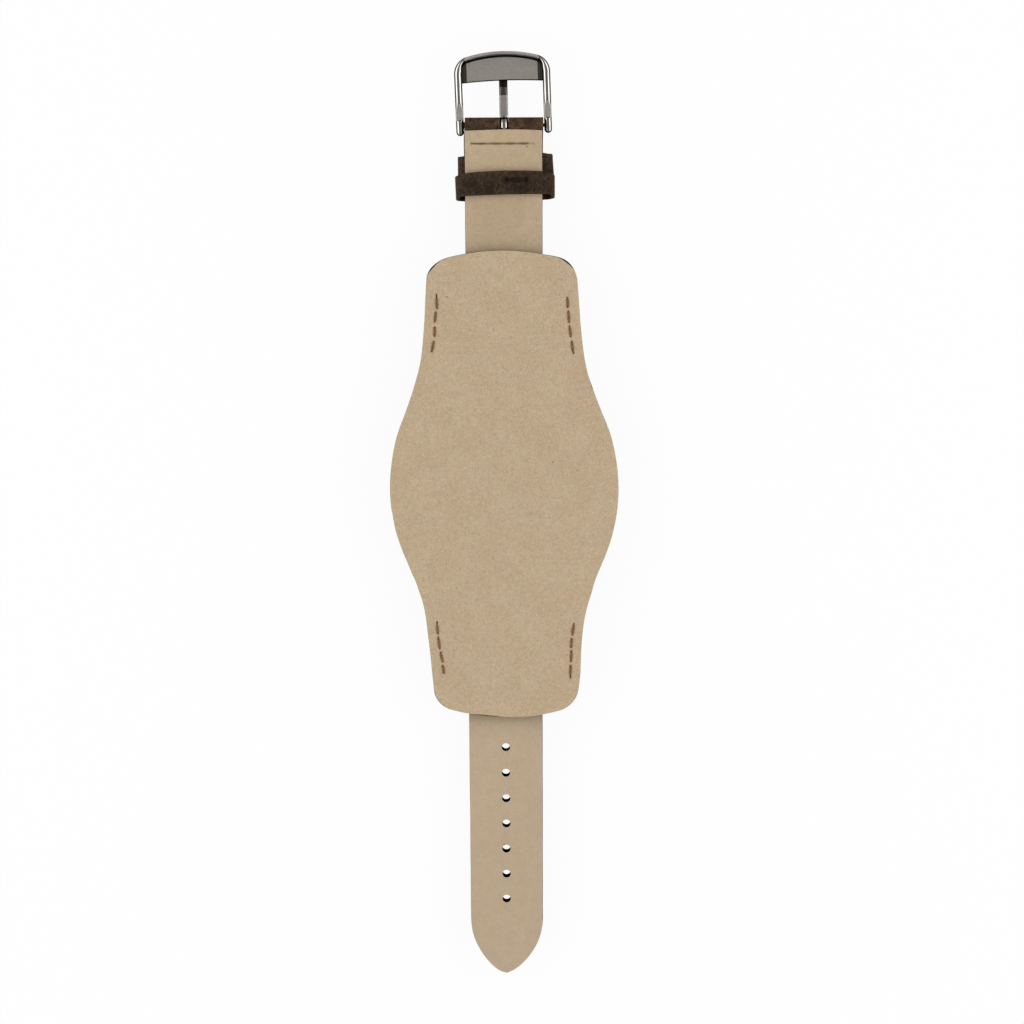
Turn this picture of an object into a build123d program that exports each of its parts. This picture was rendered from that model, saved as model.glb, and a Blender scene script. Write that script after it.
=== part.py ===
from build123d import *
import math
import os

# A bund watch strap laid flat with its wrist side up, in millimetres.
# The origin is the centre of the pad's wrist face. +Z points out of that face, towards the wrist,
# +Y points to the buckle, and the side that is seen when the watch is worn faces -Z.
os.makedirs("parts", exist_ok=True)

# Pad
pad_length = 112.3
pad_width = 54.3
pad_flank_width = 47.4
pad_flank_y = 17.0
pad_waist_width = 37.1
pad_waist_setback = 19.65
pad_corner_width = 34.4
pad_end_bow = 2.6
pad_corner_radius = 5.6
pad_lining_thickness = 1.0
pad_face_thickness = 1.2

# Straps, both of the same three layers
strap_width = 18.0
strap_lining_thickness = 0.8
strap_core_thickness = 0.4
strap_face_thickness = 1.0
buckle_strap_length = 75.0
tail_strap_length = 115.85
buckle_bar_past_pad = 28.7
tail_tip_past_pad = 68.2
tail_point_length = 14.5
tail_point_radius = 1.2
hole_diameter = 2.05
hole_pitch = 6.61
hole_count = 7
last_hole_to_tip = 20.0

# Folds of the face leather round a bar, and the skived lining that covers their ends
fold_wall = 0.93
lug_bore_radius = 0.8
lug_drop = 0.2
fold_front_run = 4.6
fold_back_run = 6.2
lug_front_run = 7.0
lug_back_run = 6.0
lining_stop = 1.0
lining_skived_edge = 0.3
tongue_slot_width = 2.6
tongue_slot_run = 1.75

# Bridges
bridge_width = 16.8
bridge_setback = 16.85
bridge_thickness = 1.3
bridge_foot_step = 0.9
bridge_ramp_run = 1.7
bridge_bend_radius = 0.9

# Keepers
keeper_thickness = 0.8
keeper_width = 5.9
fixed_keeper_reach = 6.57
floating_keeper_reach = 10.32
keeper_side_room = 0.9
keeper_tail_room = 0.3
keeper_bend_radius = 1.6
keeper_tuck = 4.0

# Thread
thread = 0.55
stitch_length = 2.9
bridge_stitch_pitch = 3.5
bridge_stitch_count = 4
bridge_stitch_inset = 2.45
fold_stitch_pitch = 3.5
fold_stitch_count = 4
fold_stitch_run = 4.14
lug_stitch_run = 5.0
staple_thread = 0.28
staple_length = 4.9
staple_offset = 3.0

# Buckle
rail_diameter = 1.8
ear_centre_width = 20.44
crown_centre_width = 20.2
buckle_reach = 15.8
crown_slope = 14.85
crown_straight = 0.2
buckle_corner_radius = 3.1
ear_reach = 1.2
plate_reach = 9.88
plate_thickness = 1.0
plate_recess = 0.1
facet_reach = 3.7
facet_depth = 0.42
facet_radius = 3.0

# Spring bar and tongue
bar_diameter = 1.5
bar_bore_diameter = 1.15
bar_lip = 0.5
bar_end_gap = 0.45
plunger_head_length = 1.2
plunger_tip_diameter = 0.8
plunger_tip_engagement = 0.9
spring_wire = 0.2
spring_turns = 16
tongue_width = 1.9
tongue_loop_wall = 0.55
tongue_thickness = 0.9
tongue_reach = 15.7
tongue_bend_reach = 8.0
tongue_bend_radius = 6.0
tongue_tip_radius = 0.4

# Clearances
layer_gap = 0.15
strap_side_gap = 0.5
keeper_gap = 0.15
fold_bar_gap = 0.1
running_gap = 0.025
tongue_gap = 0.05
thread_gap = 0.05
thread_sink = 0.05
core_gap = 0.1
ear_gap = 0.35
overrun = 1.0

# Places along the strap
pad_end_y = pad_length / 2
pad_waist_y = pad_end_y - pad_waist_setback
bridge_centre_y = pad_end_y - bridge_setback
buckle_bar_y = pad_end_y + buckle_bar_past_pad
tail_tip_y = -(pad_end_y + tail_tip_past_pad)
buckle_lug_y = buckle_bar_y - buckle_strap_length
tail_lug_y = tail_tip_y + tail_strap_length
fixed_keeper_top_y = buckle_bar_y - fixed_keeper_reach
floating_keeper_top_y = buckle_bar_y - floating_keeper_reach

# Levels, from the wrist face down to the front
pad_front_z = -(pad_lining_thickness + pad_face_thickness)
strap_back_z = pad_front_z - layer_gap
core_back_z = strap_back_z - strap_lining_thickness
face_back_z = core_back_z - strap_core_thickness
strap_front_z = face_back_z - strap_face_thickness
strap_thickness = strap_back_z - strap_front_z
bridge_back_z = strap_front_z - layer_gap

# Bars: the buckle's own, and the two tunnels for the watch's bars
bar_radius = bar_diameter / 2
fold_bore_radius = bar_radius + fold_bar_gap
fold_radius = fold_bore_radius + fold_wall
lug_radius = lug_bore_radius + fold_wall
bar_z = strap_front_z + strap_thickness / 2 + strap_core_thickness
lug_z = strap_back_z - lug_drop - lug_radius


def pad_outline():
    """Round in the middle, drawn in to a waist at each end, with bowed ends."""
    corner = (pad_corner_width / 2, pad_end_y - pad_end_bow)
    end = (0, pad_end_y)
    with BuildSketch() as outline:
        with BuildLine():
            flank_start = (pad_width / 2, 0)
            flank = TangentArc(flank_start, (pad_flank_width / 2, pad_flank_y), tangent=(0, 1))
            waist = TangentArc(flank @ 1, (pad_waist_width / 2, pad_waist_y), tangent=flank % 1)
            TangentArc(waist @ 1, corner, tangent=waist % 1)
            TangentArc(end, corner, tangent=(1, 0))
            Polyline(end, (0, 0), flank_start)
        make_face()
        mirror(about=Plane.YZ)
        mirror(about=Plane.XZ)
        outer_corners = outline.vertices().filter_by(
            lambda v: abs(abs(v.X) - corner[0]) < thread and abs(abs(v.Y) - corner[1]) < thread
        )
        fillet(outer_corners, radius=pad_corner_radius)
    return outline.sketch


def pad_half_width(y):
    """The pad's half-width at a place along it, read off its outline."""
    with BuildSketch() as strip:
        add(pad_outline())
        with Locations((0, y)):
            Rectangle(pad_width, thread, mode=Mode.INTERSECT)
    return strip.sketch.bounding_box().max.X


def tail_outline():
    """The tail seen from above: parallel edges, then an arched point."""
    shoulder = (strap_width / 2, tail_tip_y + tail_point_length)
    lug_end = buckle_lug_y
    with BuildSketch() as outline:
        with BuildLine():
            edge = Line((strap_width / 2, lug_end), shoulder)
            TangentArc(shoulder, (0, tail_tip_y), tangent=edge % 1)
            Polyline((0, tail_tip_y), (0, lug_end), edge @ 0)
        make_face()
        mirror(about=Plane.YZ)
        tip = outline.vertices().sort_by(Axis.Y)[0]
        fillet(tip, radius=tail_point_radius)
    return outline.sketch


def touch_point(point, centre, radius, pick):
    """Of the two lines from a point that touch a circle, the touching point that pick chooses by height."""
    away = Vector(*point) - Vector(*centre)
    swing = math.acos(radius / away.length)
    bearing = math.atan2(away.Y, away.X)
    touches = [
        Vector(*centre) + Vector(math.cos(turn), math.sin(turn)) * radius
        for turn in (bearing + swing, bearing - swing)
    ]
    return pick(touches, key=lambda touch: touch.Y)


class Fold:
    """The turn of the face leather round a bar, in the plane of Y and Z; way is +1 if it opens to +Y."""

    def __init__(self, y, z, radius, way, front_run, back_run):
        self.centre = Vector(y, z)
        self.front_root = Vector(y - way * front_run, strap_front_z)
        self.back_root = Vector(y - way * back_run, core_back_z)
        self.front_touch = touch_point(self.front_root, self.centre, radius, min)
        self.back_touch = touch_point(self.back_root, self.centre, radius, max)
        self.nose = self.centre + Vector(way * radius, 0)
        self.lining_end_y = y - way * lining_stop

    def draw(self):
        """The outer line of the fold, from its root on the front to its root under the lining."""
        Line(self.front_root, self.front_touch)
        ThreePointArc(self.front_touch, self.nose, self.back_touch)
        Line(self.back_touch, self.back_root)

    def back_height(self, y):
        """The height of the flap's straight back at a place along the strap."""
        share = (y - self.back_root.X) / (self.back_touch.X - self.back_root.X)
        return self.back_root.Y + (self.back_touch.Y - self.back_root.Y) * share

    def front_height(self, y):
        """The height of the front's straight ramp at a place along the strap."""
        share = (y - self.front_root.X) / (self.front_touch.X - self.front_root.X)
        return self.front_root.Y + (self.front_touch.Y - self.front_root.Y) * share

    def lining_edge(self):
        """The lower and upper corner of the lining's skived end on the flap."""
        low = Vector(self.lining_end_y, self.back_height(self.lining_end_y))
        return low, low + Vector(0, lining_skived_edge)

    def lining_height(self, y):
        """The height of the lining's back over the flap at a place along the strap."""
        high = self.lining_edge()[1]
        share = (y - self.back_root.X) / (high.X - self.back_root.X)
        return strap_back_z + (high.Y - strap_back_z) * share


buckle_fold = Fold(buckle_bar_y, bar_z, fold_radius, 1, fold_front_run, fold_back_run)
buckle_lug_fold = Fold(buckle_lug_y, lug_z, lug_radius, -1, lug_front_run, lug_back_run)
tail_lug_fold = Fold(tail_lug_y, lug_z, lug_radius, 1, lug_front_run, lug_back_run)


def upright_plane(start, end, z):
    """The upright plane through a row of stitches, with x along the row and y up."""
    along = (Vector(*end) - Vector(*start)).normalized()
    return Plane(origin=(start[0], start[1], z), x_dir=along, z_dir=along.cross(Vector(0, 0, 1)))


class StitchRow:
    """A row of thread links, each with a bar on both faces and a leg down each of its two holes."""

    def __init__(self, start, end, count, top, bottom, length=stitch_length, size=thread):
        self.size = size
        self.length = length
        self.top = top - thread_sink
        self.bottom = bottom + thread_sink
        self.height = self.top - self.bottom
        self.plane = upright_plane(start, end, (self.top + self.bottom) / 2)
        pitch = (Vector(*end) - Vector(*start)).length / count
        self.places = [((index + 0.5) * pitch, 0) for index in range(count)]

    def links(self):
        """The thread itself."""
        with BuildPart() as thread_part:
            with BuildSketch(self.plane):
                with Locations(*self.places):
                    RectangleRounded(self.length, self.height, self.size / 2)
                    inner_length = self.length - 2 * self.size
                    Rectangle(inner_length, self.height - 2 * self.size, mode=Mode.SUBTRACT)
            extrude(amount=self.size / 2, both=True)
        return thread_part.part

    def slots(self):
        """The holes and the grooves in the leather that the thread lies in."""
        slack = 2 * thread_gap
        with BuildPart() as slot_part:
            with BuildSketch(self.plane):
                with Locations(*self.places):
                    Rectangle(self.length + slack, self.height + 2 * overrun)
                    inner_length = self.length - 2 * self.size - slack
                    inner_height = self.height - 2 * self.size - slack
                    Rectangle(inner_length, inner_height, mode=Mode.SUBTRACT)
            extrude(amount=self.size / 2 + thread_gap, both=True)
        return slot_part.part


def cross_row(y, top, bottom):
    """A row of stitches straight across a strap."""
    half = fold_stitch_pitch * fold_stitch_count / 2
    return StitchRow((-half, y), (half, y), fold_stitch_count, top, bottom)


def fold_row(fold, y):
    """A row of stitches through the lining, the flap and the front of a fold."""
    return cross_row(y, fold.lining_height(y), fold.front_height(y))


def bridge_row(side_x, side_y):
    """A row of stitches along one end of a bridge, set in from the pad's edge."""
    half = bridge_stitch_pitch * bridge_stitch_count / 2
    ends = []
    for y in (bridge_centre_y - half, bridge_centre_y + half):
        ends.append((side_x * (pad_half_width(y) - bridge_stitch_inset), side_y * y))
    bottom = pad_front_z - bridge_thickness
    return StitchRow(ends[0], ends[1], bridge_stitch_count, 0, bottom)


bridge_rows = {
    (side_x, side_y): bridge_row(side_x, side_y) for side_y in (1, -1) for side_x in (-1, 1)
}
buckle_end_row = fold_row(buckle_fold, buckle_bar_y - fold_stitch_run)
buckle_lug_row = fold_row(buckle_lug_fold, buckle_lug_y + lug_stitch_run)
tail_lug_row = fold_row(tail_lug_fold, tail_lug_y - lug_stitch_run)


# Pad
def pad_layer(top, thickness):
    """One sheet of the pad, with the slots of all four stitch rows."""
    with BuildPart() as layer:
        with BuildSketch(Plane.XY.offset(top)):
            add(pad_outline())
        extrude(amount=-thickness)
        for row in bridge_rows.values():
            add(row.slots(), mode=Mode.SUBTRACT)
    return layer.part


with BuildPart() as pad_lining:
    add(pad_layer(0, pad_lining_thickness))
pad_lining.part.label = "pad_lining"
export_step(pad_lining.part, "parts/pad_lining.step")

with BuildPart() as pad_face:
    add(pad_layer(-pad_lining_thickness, pad_face_thickness))
pad_face.part.label = "pad_face"
export_step(pad_face.part, "parts/pad_face.step")


# Bridges, bent over the strap and cut off along the pad's edge
def bridge(side_y):
    """One leather band across the pad's front, with its two ends flat on the pad."""
    arch_x = strap_width / 2 + strap_side_gap
    foot_x = arch_x + bridge_foot_step + bridge_ramp_run
    with BuildPart() as band:
        with BuildSketch(Plane.XZ.offset(-side_y * bridge_centre_y)):
            with BuildLine():
                back = FilletPolyline(
                    (-pad_width / 2, pad_front_z),
                    (-foot_x, pad_front_z),
                    (-arch_x - bridge_foot_step, bridge_back_z),
                    (arch_x + bridge_foot_step, bridge_back_z),
                    (foot_x, pad_front_z),
                    (pad_width / 2, pad_front_z),
                    radius=bridge_bend_radius,
                )
                offset(back, amount=bridge_thickness, side=Side.RIGHT)
            make_face()
        extrude(amount=bridge_width / 2, both=True)
        with BuildSketch(Plane.XY.offset(pad_front_z)):
            add(pad_outline())
        drop = pad_front_z - bridge_back_z + bridge_thickness + overrun
        extrude(amount=-drop, mode=Mode.INTERSECT)
        for side_x in (-1, 1):
            add(bridge_rows[side_x, side_y].slots(), mode=Mode.SUBTRACT)
    return band.part


with BuildPart() as upper_bridge:
    add(bridge(1))
upper_bridge.part.label = "upper_bridge"
export_step(upper_bridge.part, "parts/upper_bridge.step")

with BuildPart() as lower_bridge:
    add(bridge(-1))
lower_bridge.part.label = "lower_bridge"
export_step(lower_bridge.part, "parts/lower_bridge.step")

# Thread rows of the bridges
for end_name, side_y in (("upper", 1), ("lower", -1)):
    for hand, side_x in (("left", -1), ("right", 1)):
        with BuildPart() as bridge_stitching:
            add(bridge_rows[side_x, side_y].links())
        row_name = f"{end_name}_{hand}_stitching"
        bridge_stitching.part.label = row_name
        export_step(bridge_stitching.part, f"parts/{row_name}.step")

# Fixed keeper: a loop on the strap's front, whose thinned ends lie between the strap's layers
fixed_keeper_bottom_y = fixed_keeper_top_y - keeper_width
keeper_inner_x = strap_width / 2 + keeper_side_room
keeper_outer_x = keeper_inner_x + keeper_thickness
keeper_inner_z = strap_front_z - strap_thickness - keeper_tail_room
keeper_outer_z = keeper_inner_z - keeper_thickness
tuck_back_z = core_back_z
tuck_front_z = face_back_z
tuck_middle_z = (tuck_back_z + tuck_front_z) / 2
shoulder_back_z = tuck_middle_z + keeper_thickness / 2
shoulder_front_z = tuck_middle_z - keeper_thickness / 2
tuck_end_x = strap_width / 2 - keeper_tuck


def keeper_plane(top_y):
    """The upright plane across the strap at a keeper's top edge, facing the tail."""
    return Plane(origin=(0, top_y, 0), x_dir=(1, 0, 0), z_dir=(0, -1, 0))


with BuildPart() as fixed_keeper:
    with BuildSketch(keeper_plane(fixed_keeper_top_y)):
        loop_middle_z = (shoulder_back_z + keeper_outer_z) / 2
        loop_height = shoulder_back_z - keeper_outer_z
        with Locations((0, loop_middle_z)):
            RectangleRounded(2 * keeper_outer_x, loop_height, keeper_bend_radius)
            RectangleRounded(
                2 * keeper_inner_x,
                loop_height - 2 * keeper_thickness,
                keeper_bend_radius - keeper_thickness,
                mode=Mode.SUBTRACT,
            )
        strap_slot = strap_width + 2 * keeper_gap
        with Locations((0, shoulder_back_z)):
            Rectangle(strap_slot, 2 * keeper_thickness + overrun, mode=Mode.SUBTRACT)
        for side_x in (-1, 1):
            tuck_width = keeper_inner_x - tuck_end_x + keeper_thickness / 2
            with Locations((side_x * (tuck_end_x + tuck_width / 2), tuck_middle_z)):
                Rectangle(tuck_width, strap_core_thickness)
    extrude(amount=keeper_width)
fixed_keeper.part.label = "fixed_keeper"
export_step(fixed_keeper.part, "parts/fixed_keeper.step")

# Floating keeper: a whole loop that rides over the fixed one
float_inner_x = keeper_outer_x + keeper_gap
float_outer_x = float_inner_x + keeper_thickness
float_back_z = strap_back_z + keeper_gap
float_back_outer_z = float_back_z + keeper_thickness
float_front_z = keeper_outer_z - keeper_gap
float_height = float_back_z - float_front_z
staple_y = floating_keeper_top_y - keeper_width / 2 + thread
staple_row = StitchRow(
    (staple_offset - staple_length / 2, staple_y),
    (staple_offset + staple_length / 2, staple_y),
    1,
    float_back_outer_z,
    float_back_z,
    length=staple_length,
    size=staple_thread,
)

with BuildPart() as floating_keeper:
    with BuildSketch(keeper_plane(floating_keeper_top_y)):
        with Locations((0, (float_back_z + float_front_z) / 2)):
            RectangleRounded(
                2 * float_outer_x, float_height + 2 * keeper_thickness, keeper_bend_radius
            )
            RectangleRounded(
                2 * float_inner_x,
                float_height,
                keeper_bend_radius - keeper_thickness,
                mode=Mode.SUBTRACT,
            )
    extrude(amount=keeper_width)
    add(staple_row.slots(), mode=Mode.SUBTRACT)
floating_keeper.part.label = "floating_keeper"
export_step(floating_keeper.part, "parts/floating_keeper.step")

with BuildPart() as floating_keeper_stitch:
    add(staple_row.links())
floating_keeper_stitch.part.label = "floating_keeper_stitch"
export_step(floating_keeper_stitch.part, "parts/floating_keeper_stitch.step")


def cut_tunnel(fold, radius):
    """Cuts a round tunnel for a bar right across the strap."""
    with Locations(Plane(origin=(0, fold.centre.X, fold.centre.Y), z_dir=(1, 0, 0))):
        Cylinder(radius, strap_width + overrun, mode=Mode.SUBTRACT)


# Buckle strap
with BuildPart() as buckle_strap_face:
    with BuildSketch(Plane.YZ):
        with BuildLine():
            buckle_fold.draw()
            buckle_lug_fold.draw()
            Line(buckle_lug_fold.front_root, buckle_fold.front_root)
            Polyline(
                buckle_fold.back_root,
                (buckle_fold.back_root.X, face_back_z),
                (buckle_lug_fold.back_root.X, face_back_z),
                buckle_lug_fold.back_root,
            )
        make_face()
    extrude(amount=strap_width / 2, both=True)
    cut_tunnel(buckle_fold, fold_bore_radius)
    cut_tunnel(buckle_lug_fold, lug_bore_radius)
    slot_end_y = buckle_bar_y + fold_radius + overrun
    slot_length = slot_end_y - buckle_bar_y + tongue_slot_run
    with BuildSketch(Plane.XY.offset(bar_z)):
        with Locations((0, slot_end_y - slot_length / 2)):
            Rectangle(tongue_slot_width, slot_length)
    extrude(amount=2 * fold_radius, both=True, mode=Mode.SUBTRACT)
    for row in (buckle_end_row, buckle_lug_row):
        add(row.slots(), mode=Mode.SUBTRACT)
buckle_strap_face.part.label = "buckle_strap_face"
export_step(buckle_strap_face.part, "parts/buckle_strap_face.step")

with BuildPart() as buckle_strap_lining:
    with BuildSketch(Plane.YZ):
        with BuildLine():
            buckle_low, buckle_high = buckle_fold.lining_edge()
            lug_low, lug_high = buckle_lug_fold.lining_edge()
            Polyline(
                buckle_low,
                buckle_high,
                (buckle_fold.back_root.X, strap_back_z),
                (buckle_lug_fold.back_root.X, strap_back_z),
                lug_high,
                lug_low,
                buckle_lug_fold.back_root,
                buckle_fold.back_root,
                buckle_low,
            )
        make_face()
    extrude(amount=strap_width / 2, both=True)
    for row in (buckle_end_row, buckle_lug_row):
        add(row.slots(), mode=Mode.SUBTRACT)
buckle_strap_lining.part.label = "buckle_strap_lining"
export_step(buckle_strap_lining.part, "parts/buckle_strap_lining.step")

with BuildPart() as buckle_strap_core:
    core_end_y = buckle_fold.back_root.X - core_gap
    core_start_y = buckle_lug_fold.back_root.X + core_gap
    with BuildSketch(Plane.XY.offset(face_back_z)):
        with Locations((0, (core_end_y + core_start_y) / 2)):
            Rectangle(strap_width, core_end_y - core_start_y)
        notch_bottom_y = fixed_keeper_bottom_y - core_gap
        notch_length = core_end_y + overrun - notch_bottom_y
        notch_width = keeper_tuck + core_gap + overrun
        for side_x in (-1, 1):
            notch_x = side_x * (strap_width / 2 + overrun - notch_width / 2)
            with Locations((notch_x, notch_bottom_y + notch_length / 2)):
                Rectangle(notch_width, notch_length, mode=Mode.SUBTRACT)
    extrude(amount=strap_core_thickness)
buckle_strap_core.part.label = "buckle_strap_core"
export_step(buckle_strap_core.part, "parts/buckle_strap_core.step")

with BuildPart() as buckle_end_stitching:
    add(buckle_end_row.links())
buckle_end_stitching.part.label = "buckle_end_stitching"
export_step(buckle_end_stitching.part, "parts/buckle_end_stitching.step")

with BuildPart() as buckle_lug_stitching:
    add(buckle_lug_row.links())
buckle_lug_stitching.part.label = "buckle_lug_stitching"
export_step(buckle_lug_stitching.part, "parts/buckle_lug_stitching.step")


# The room that the tail's layers fill, cut to its point and punched with the row of holes
with BuildPart() as tail_blank:
    with BuildSketch(Plane.XY.offset(strap_front_z - lug_radius - overrun)):
        add(tail_outline())
        first_hole_y = tail_tip_y + last_hole_to_tip
        with Locations((0, first_hole_y + hole_pitch * (hole_count - 1) / 2)):
            with GridLocations(hole_pitch, hole_pitch, 1, hole_count):
                Circle(hole_diameter / 2, mode=Mode.SUBTRACT)
    extrude(amount=strap_thickness + 2 * (lug_radius + overrun))

# Tail strap
with BuildPart() as tail_strap_face:
    with BuildSketch(Plane.YZ):
        with BuildLine():
            tail_lug_fold.draw()
            Polyline(
                tail_lug_fold.front_root,
                (tail_tip_y, strap_front_z),
                (tail_tip_y, face_back_z),
                (tail_lug_fold.back_root.X, face_back_z),
                tail_lug_fold.back_root,
            )
        make_face()
    extrude(amount=strap_width / 2, both=True)
    add(tail_blank.part, mode=Mode.INTERSECT)
    cut_tunnel(tail_lug_fold, lug_bore_radius)
    add(tail_lug_row.slots(), mode=Mode.SUBTRACT)
tail_strap_face.part.label = "tail_strap_face"
export_step(tail_strap_face.part, "parts/tail_strap_face.step")

with BuildPart() as tail_strap_lining:
    with BuildSketch(Plane.YZ):
        with BuildLine():
            tail_low, tail_high = tail_lug_fold.lining_edge()
            Polyline(
                tail_low,
                tail_high,
                (tail_lug_fold.back_root.X, strap_back_z),
                (tail_tip_y, strap_back_z),
                (tail_tip_y, core_back_z),
                tail_lug_fold.back_root,
                tail_low,
            )
        make_face()
    extrude(amount=strap_width / 2, both=True)
    add(tail_blank.part, mode=Mode.INTERSECT)
    add(tail_lug_row.slots(), mode=Mode.SUBTRACT)
tail_strap_lining.part.label = "tail_strap_lining"
export_step(tail_strap_lining.part, "parts/tail_strap_lining.step")

with BuildPart() as tail_strap_core:
    core_length = tail_lug_fold.back_root.X - core_gap - tail_tip_y
    with BuildSketch(Plane.XY.offset(face_back_z)):
        with Locations((0, tail_tip_y + core_length / 2)):
            Rectangle(strap_width, core_length)
    extrude(amount=strap_core_thickness)
    add(tail_blank.part, mode=Mode.INTERSECT)
tail_strap_core.part.label = "tail_strap_core"
export_step(tail_strap_core.part, "parts/tail_strap_core.step")

with BuildPart() as tail_lug_stitching:
    add(tail_lug_row.links())
tail_lug_stitching.part.label = "tail_lug_stitching"
export_step(tail_lug_stitching.part, "parts/tail_lug_stitching.step")

# Buckle frame: round rails bent from ear to ear, with the broad front bar let in between them
rail_radius = rail_diameter / 2
ear_inner_x = strap_width / 2 + ear_gap
ear_centre_x = ear_inner_x + rail_radius
crown_centre_x = ear_centre_x - (ear_centre_width - crown_centre_width) / 2
ear_end_y = buckle_bar_y - ear_reach
crown_y = buckle_bar_y + buckle_reach
plate_start_y = buckle_bar_y + plate_reach
plate_back_z = bar_z - plate_recess
plate_front_z = plate_back_z - plate_thickness
tip_radius = plunger_tip_diameter / 2
tip_socket_radius = tip_radius + running_gap
tip_end_x = ear_inner_x + plunger_tip_engagement


# The crown's arc takes up its slopes but for a short straight before each corner
crown_turn = math.radians(crown_slope)
corner_run = buckle_corner_radius * math.tan((math.pi / 2 - crown_turn) / 2)
crown_run = crown_centre_x / math.cos(crown_turn) - corner_run - crown_straight
crown_radius = crown_run / math.tan(crown_turn)
crown_apex_y = crown_y + crown_radius / math.cos(crown_turn) - crown_radius
crown_corner_y = crown_apex_y - crown_centre_x * math.tan(crown_turn)


def rail_line():
    """The centre line of the rails and the crown, from one ear to the other."""
    return FilletPolyline(
        (-ear_centre_x, ear_end_y),
        (-crown_centre_x, crown_corner_y),
        (0, crown_apex_y),
        (crown_centre_x, crown_corner_y),
        (ear_centre_x, ear_end_y),
        radius=[buckle_corner_radius, crown_radius, buckle_corner_radius],
    )


with BuildPart() as buckle_frame:
    with BuildLine(Plane.XY.offset(bar_z)) as rails:
        rail_line()
    with BuildSketch(Plane(origin=rails.line @ 0, z_dir=rails.line % 0)):
        Circle(rail_radius)
    sweep(path=rails.line)
    with Locations(rails.line @ 0, rails.line @ 1):
        Sphere(rail_radius)
    with BuildSketch(Plane.XY.offset(plate_front_z)):
        with BuildLine():
            rim = rail_line()
            Line(rim @ 1, rim @ 0)
        make_face()
        with Locations((0, (plate_start_y + crown_y) / 2)):
            Rectangle(2 * ear_centre_x, crown_y - plate_start_y, mode=Mode.INTERSECT)
    extrude(amount=plate_thickness)
    with BuildSketch(Plane.YZ):
        with Locations((buckle_bar_y, bar_z)):
            Circle(tip_socket_radius)
    extrude(amount=tip_end_x + running_gap, both=True, mode=Mode.SUBTRACT)
    with BuildSketch(Plane.YZ):
        with Locations((buckle_bar_y + facet_reach, bar_z + rail_radius - facet_depth + facet_radius)):
            Circle(facet_radius)
    extrude(amount=2 * ear_centre_x, both=True, mode=Mode.SUBTRACT)
buckle_frame.part.label = "buckle_frame"
export_step(buckle_frame.part, "parts/buckle_frame.step")

# Spring bar
bar_half_length = ear_inner_x - bar_end_gap
bore_radius = bar_bore_diameter / 2
bore_half_length = bar_half_length - bar_lip
neck_radius = tip_radius + running_gap
lip_radius = neck_radius + running_gap
head_radius = bore_radius - running_gap
head_end_x = bore_half_length - running_gap
head_start_x = head_end_x - plunger_head_length
bar_axis = Axis((0, buckle_bar_y, bar_z), (1, 0, 0))

with BuildPart() as spring_bar_barrel:
    with BuildSketch(Plane.YZ):
        with Locations((buckle_bar_y, bar_z)):
            Circle(bar_radius)
    extrude(amount=bar_half_length, both=True)
    with BuildSketch(Plane.YZ):
        with Locations((buckle_bar_y, bar_z)):
            Circle(bore_radius)
    extrude(amount=bore_half_length, both=True, mode=Mode.SUBTRACT)
    with BuildSketch(Plane.YZ):
        with Locations((buckle_bar_y, bar_z)):
            Circle(lip_radius)
    extrude(amount=bar_half_length, both=True, mode=Mode.SUBTRACT)
spring_bar_barrel.part.label = "spring_bar_barrel"
export_step(spring_bar_barrel.part, "parts/spring_bar_barrel.step")

for hand, side_x in (("left", -1), ("right", 1)):
    with BuildPart() as plunger:
        with BuildSketch(Plane.XY.offset(bar_z)):
            with BuildLine():
                Polyline(
                    (side_x * head_start_x, buckle_bar_y),
                    (side_x * head_start_x, buckle_bar_y + head_radius),
                    (side_x * head_end_x, buckle_bar_y + head_radius),
                    (side_x * head_end_x, buckle_bar_y + neck_radius),
                    (side_x * (ear_inner_x - running_gap), buckle_bar_y + neck_radius),
                    (side_x * (ear_inner_x - running_gap), buckle_bar_y + tip_radius),
                    (side_x * tip_end_x, buckle_bar_y + tip_radius),
                    (side_x * tip_end_x, buckle_bar_y),
                    (side_x * head_start_x, buckle_bar_y),
                )
            make_face()
        revolve(axis=bar_axis)
    plunger_name = f"{hand}_plunger"
    plunger.part.label = plunger_name
    export_step(plunger.part, f"parts/{plunger_name}.step")

# Spring between the plungers' heads, wound along X
spring_half_length = head_start_x - spring_wire / 2 - running_gap
spring_radius = head_radius - spring_wire / 2 - running_gap
with BuildPart() as spring_bar_spring:
    with BuildLine() as coil:
        Helix(
            pitch=2 * spring_half_length / spring_turns,
            height=2 * spring_half_length,
            radius=spring_radius,
            center=(-spring_half_length, buckle_bar_y, bar_z),
            direction=(1, 0, 0),
        )
    with BuildSketch(Plane(origin=coil.line @ 0, z_dir=coil.line % 0)):
        Circle(spring_wire / 2)
    sweep(path=coil.line, is_frenet=True)
spring_bar_spring.part.label = "spring_bar_spring"
export_step(spring_bar_spring.part, "parts/spring_bar_spring.step")

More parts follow.
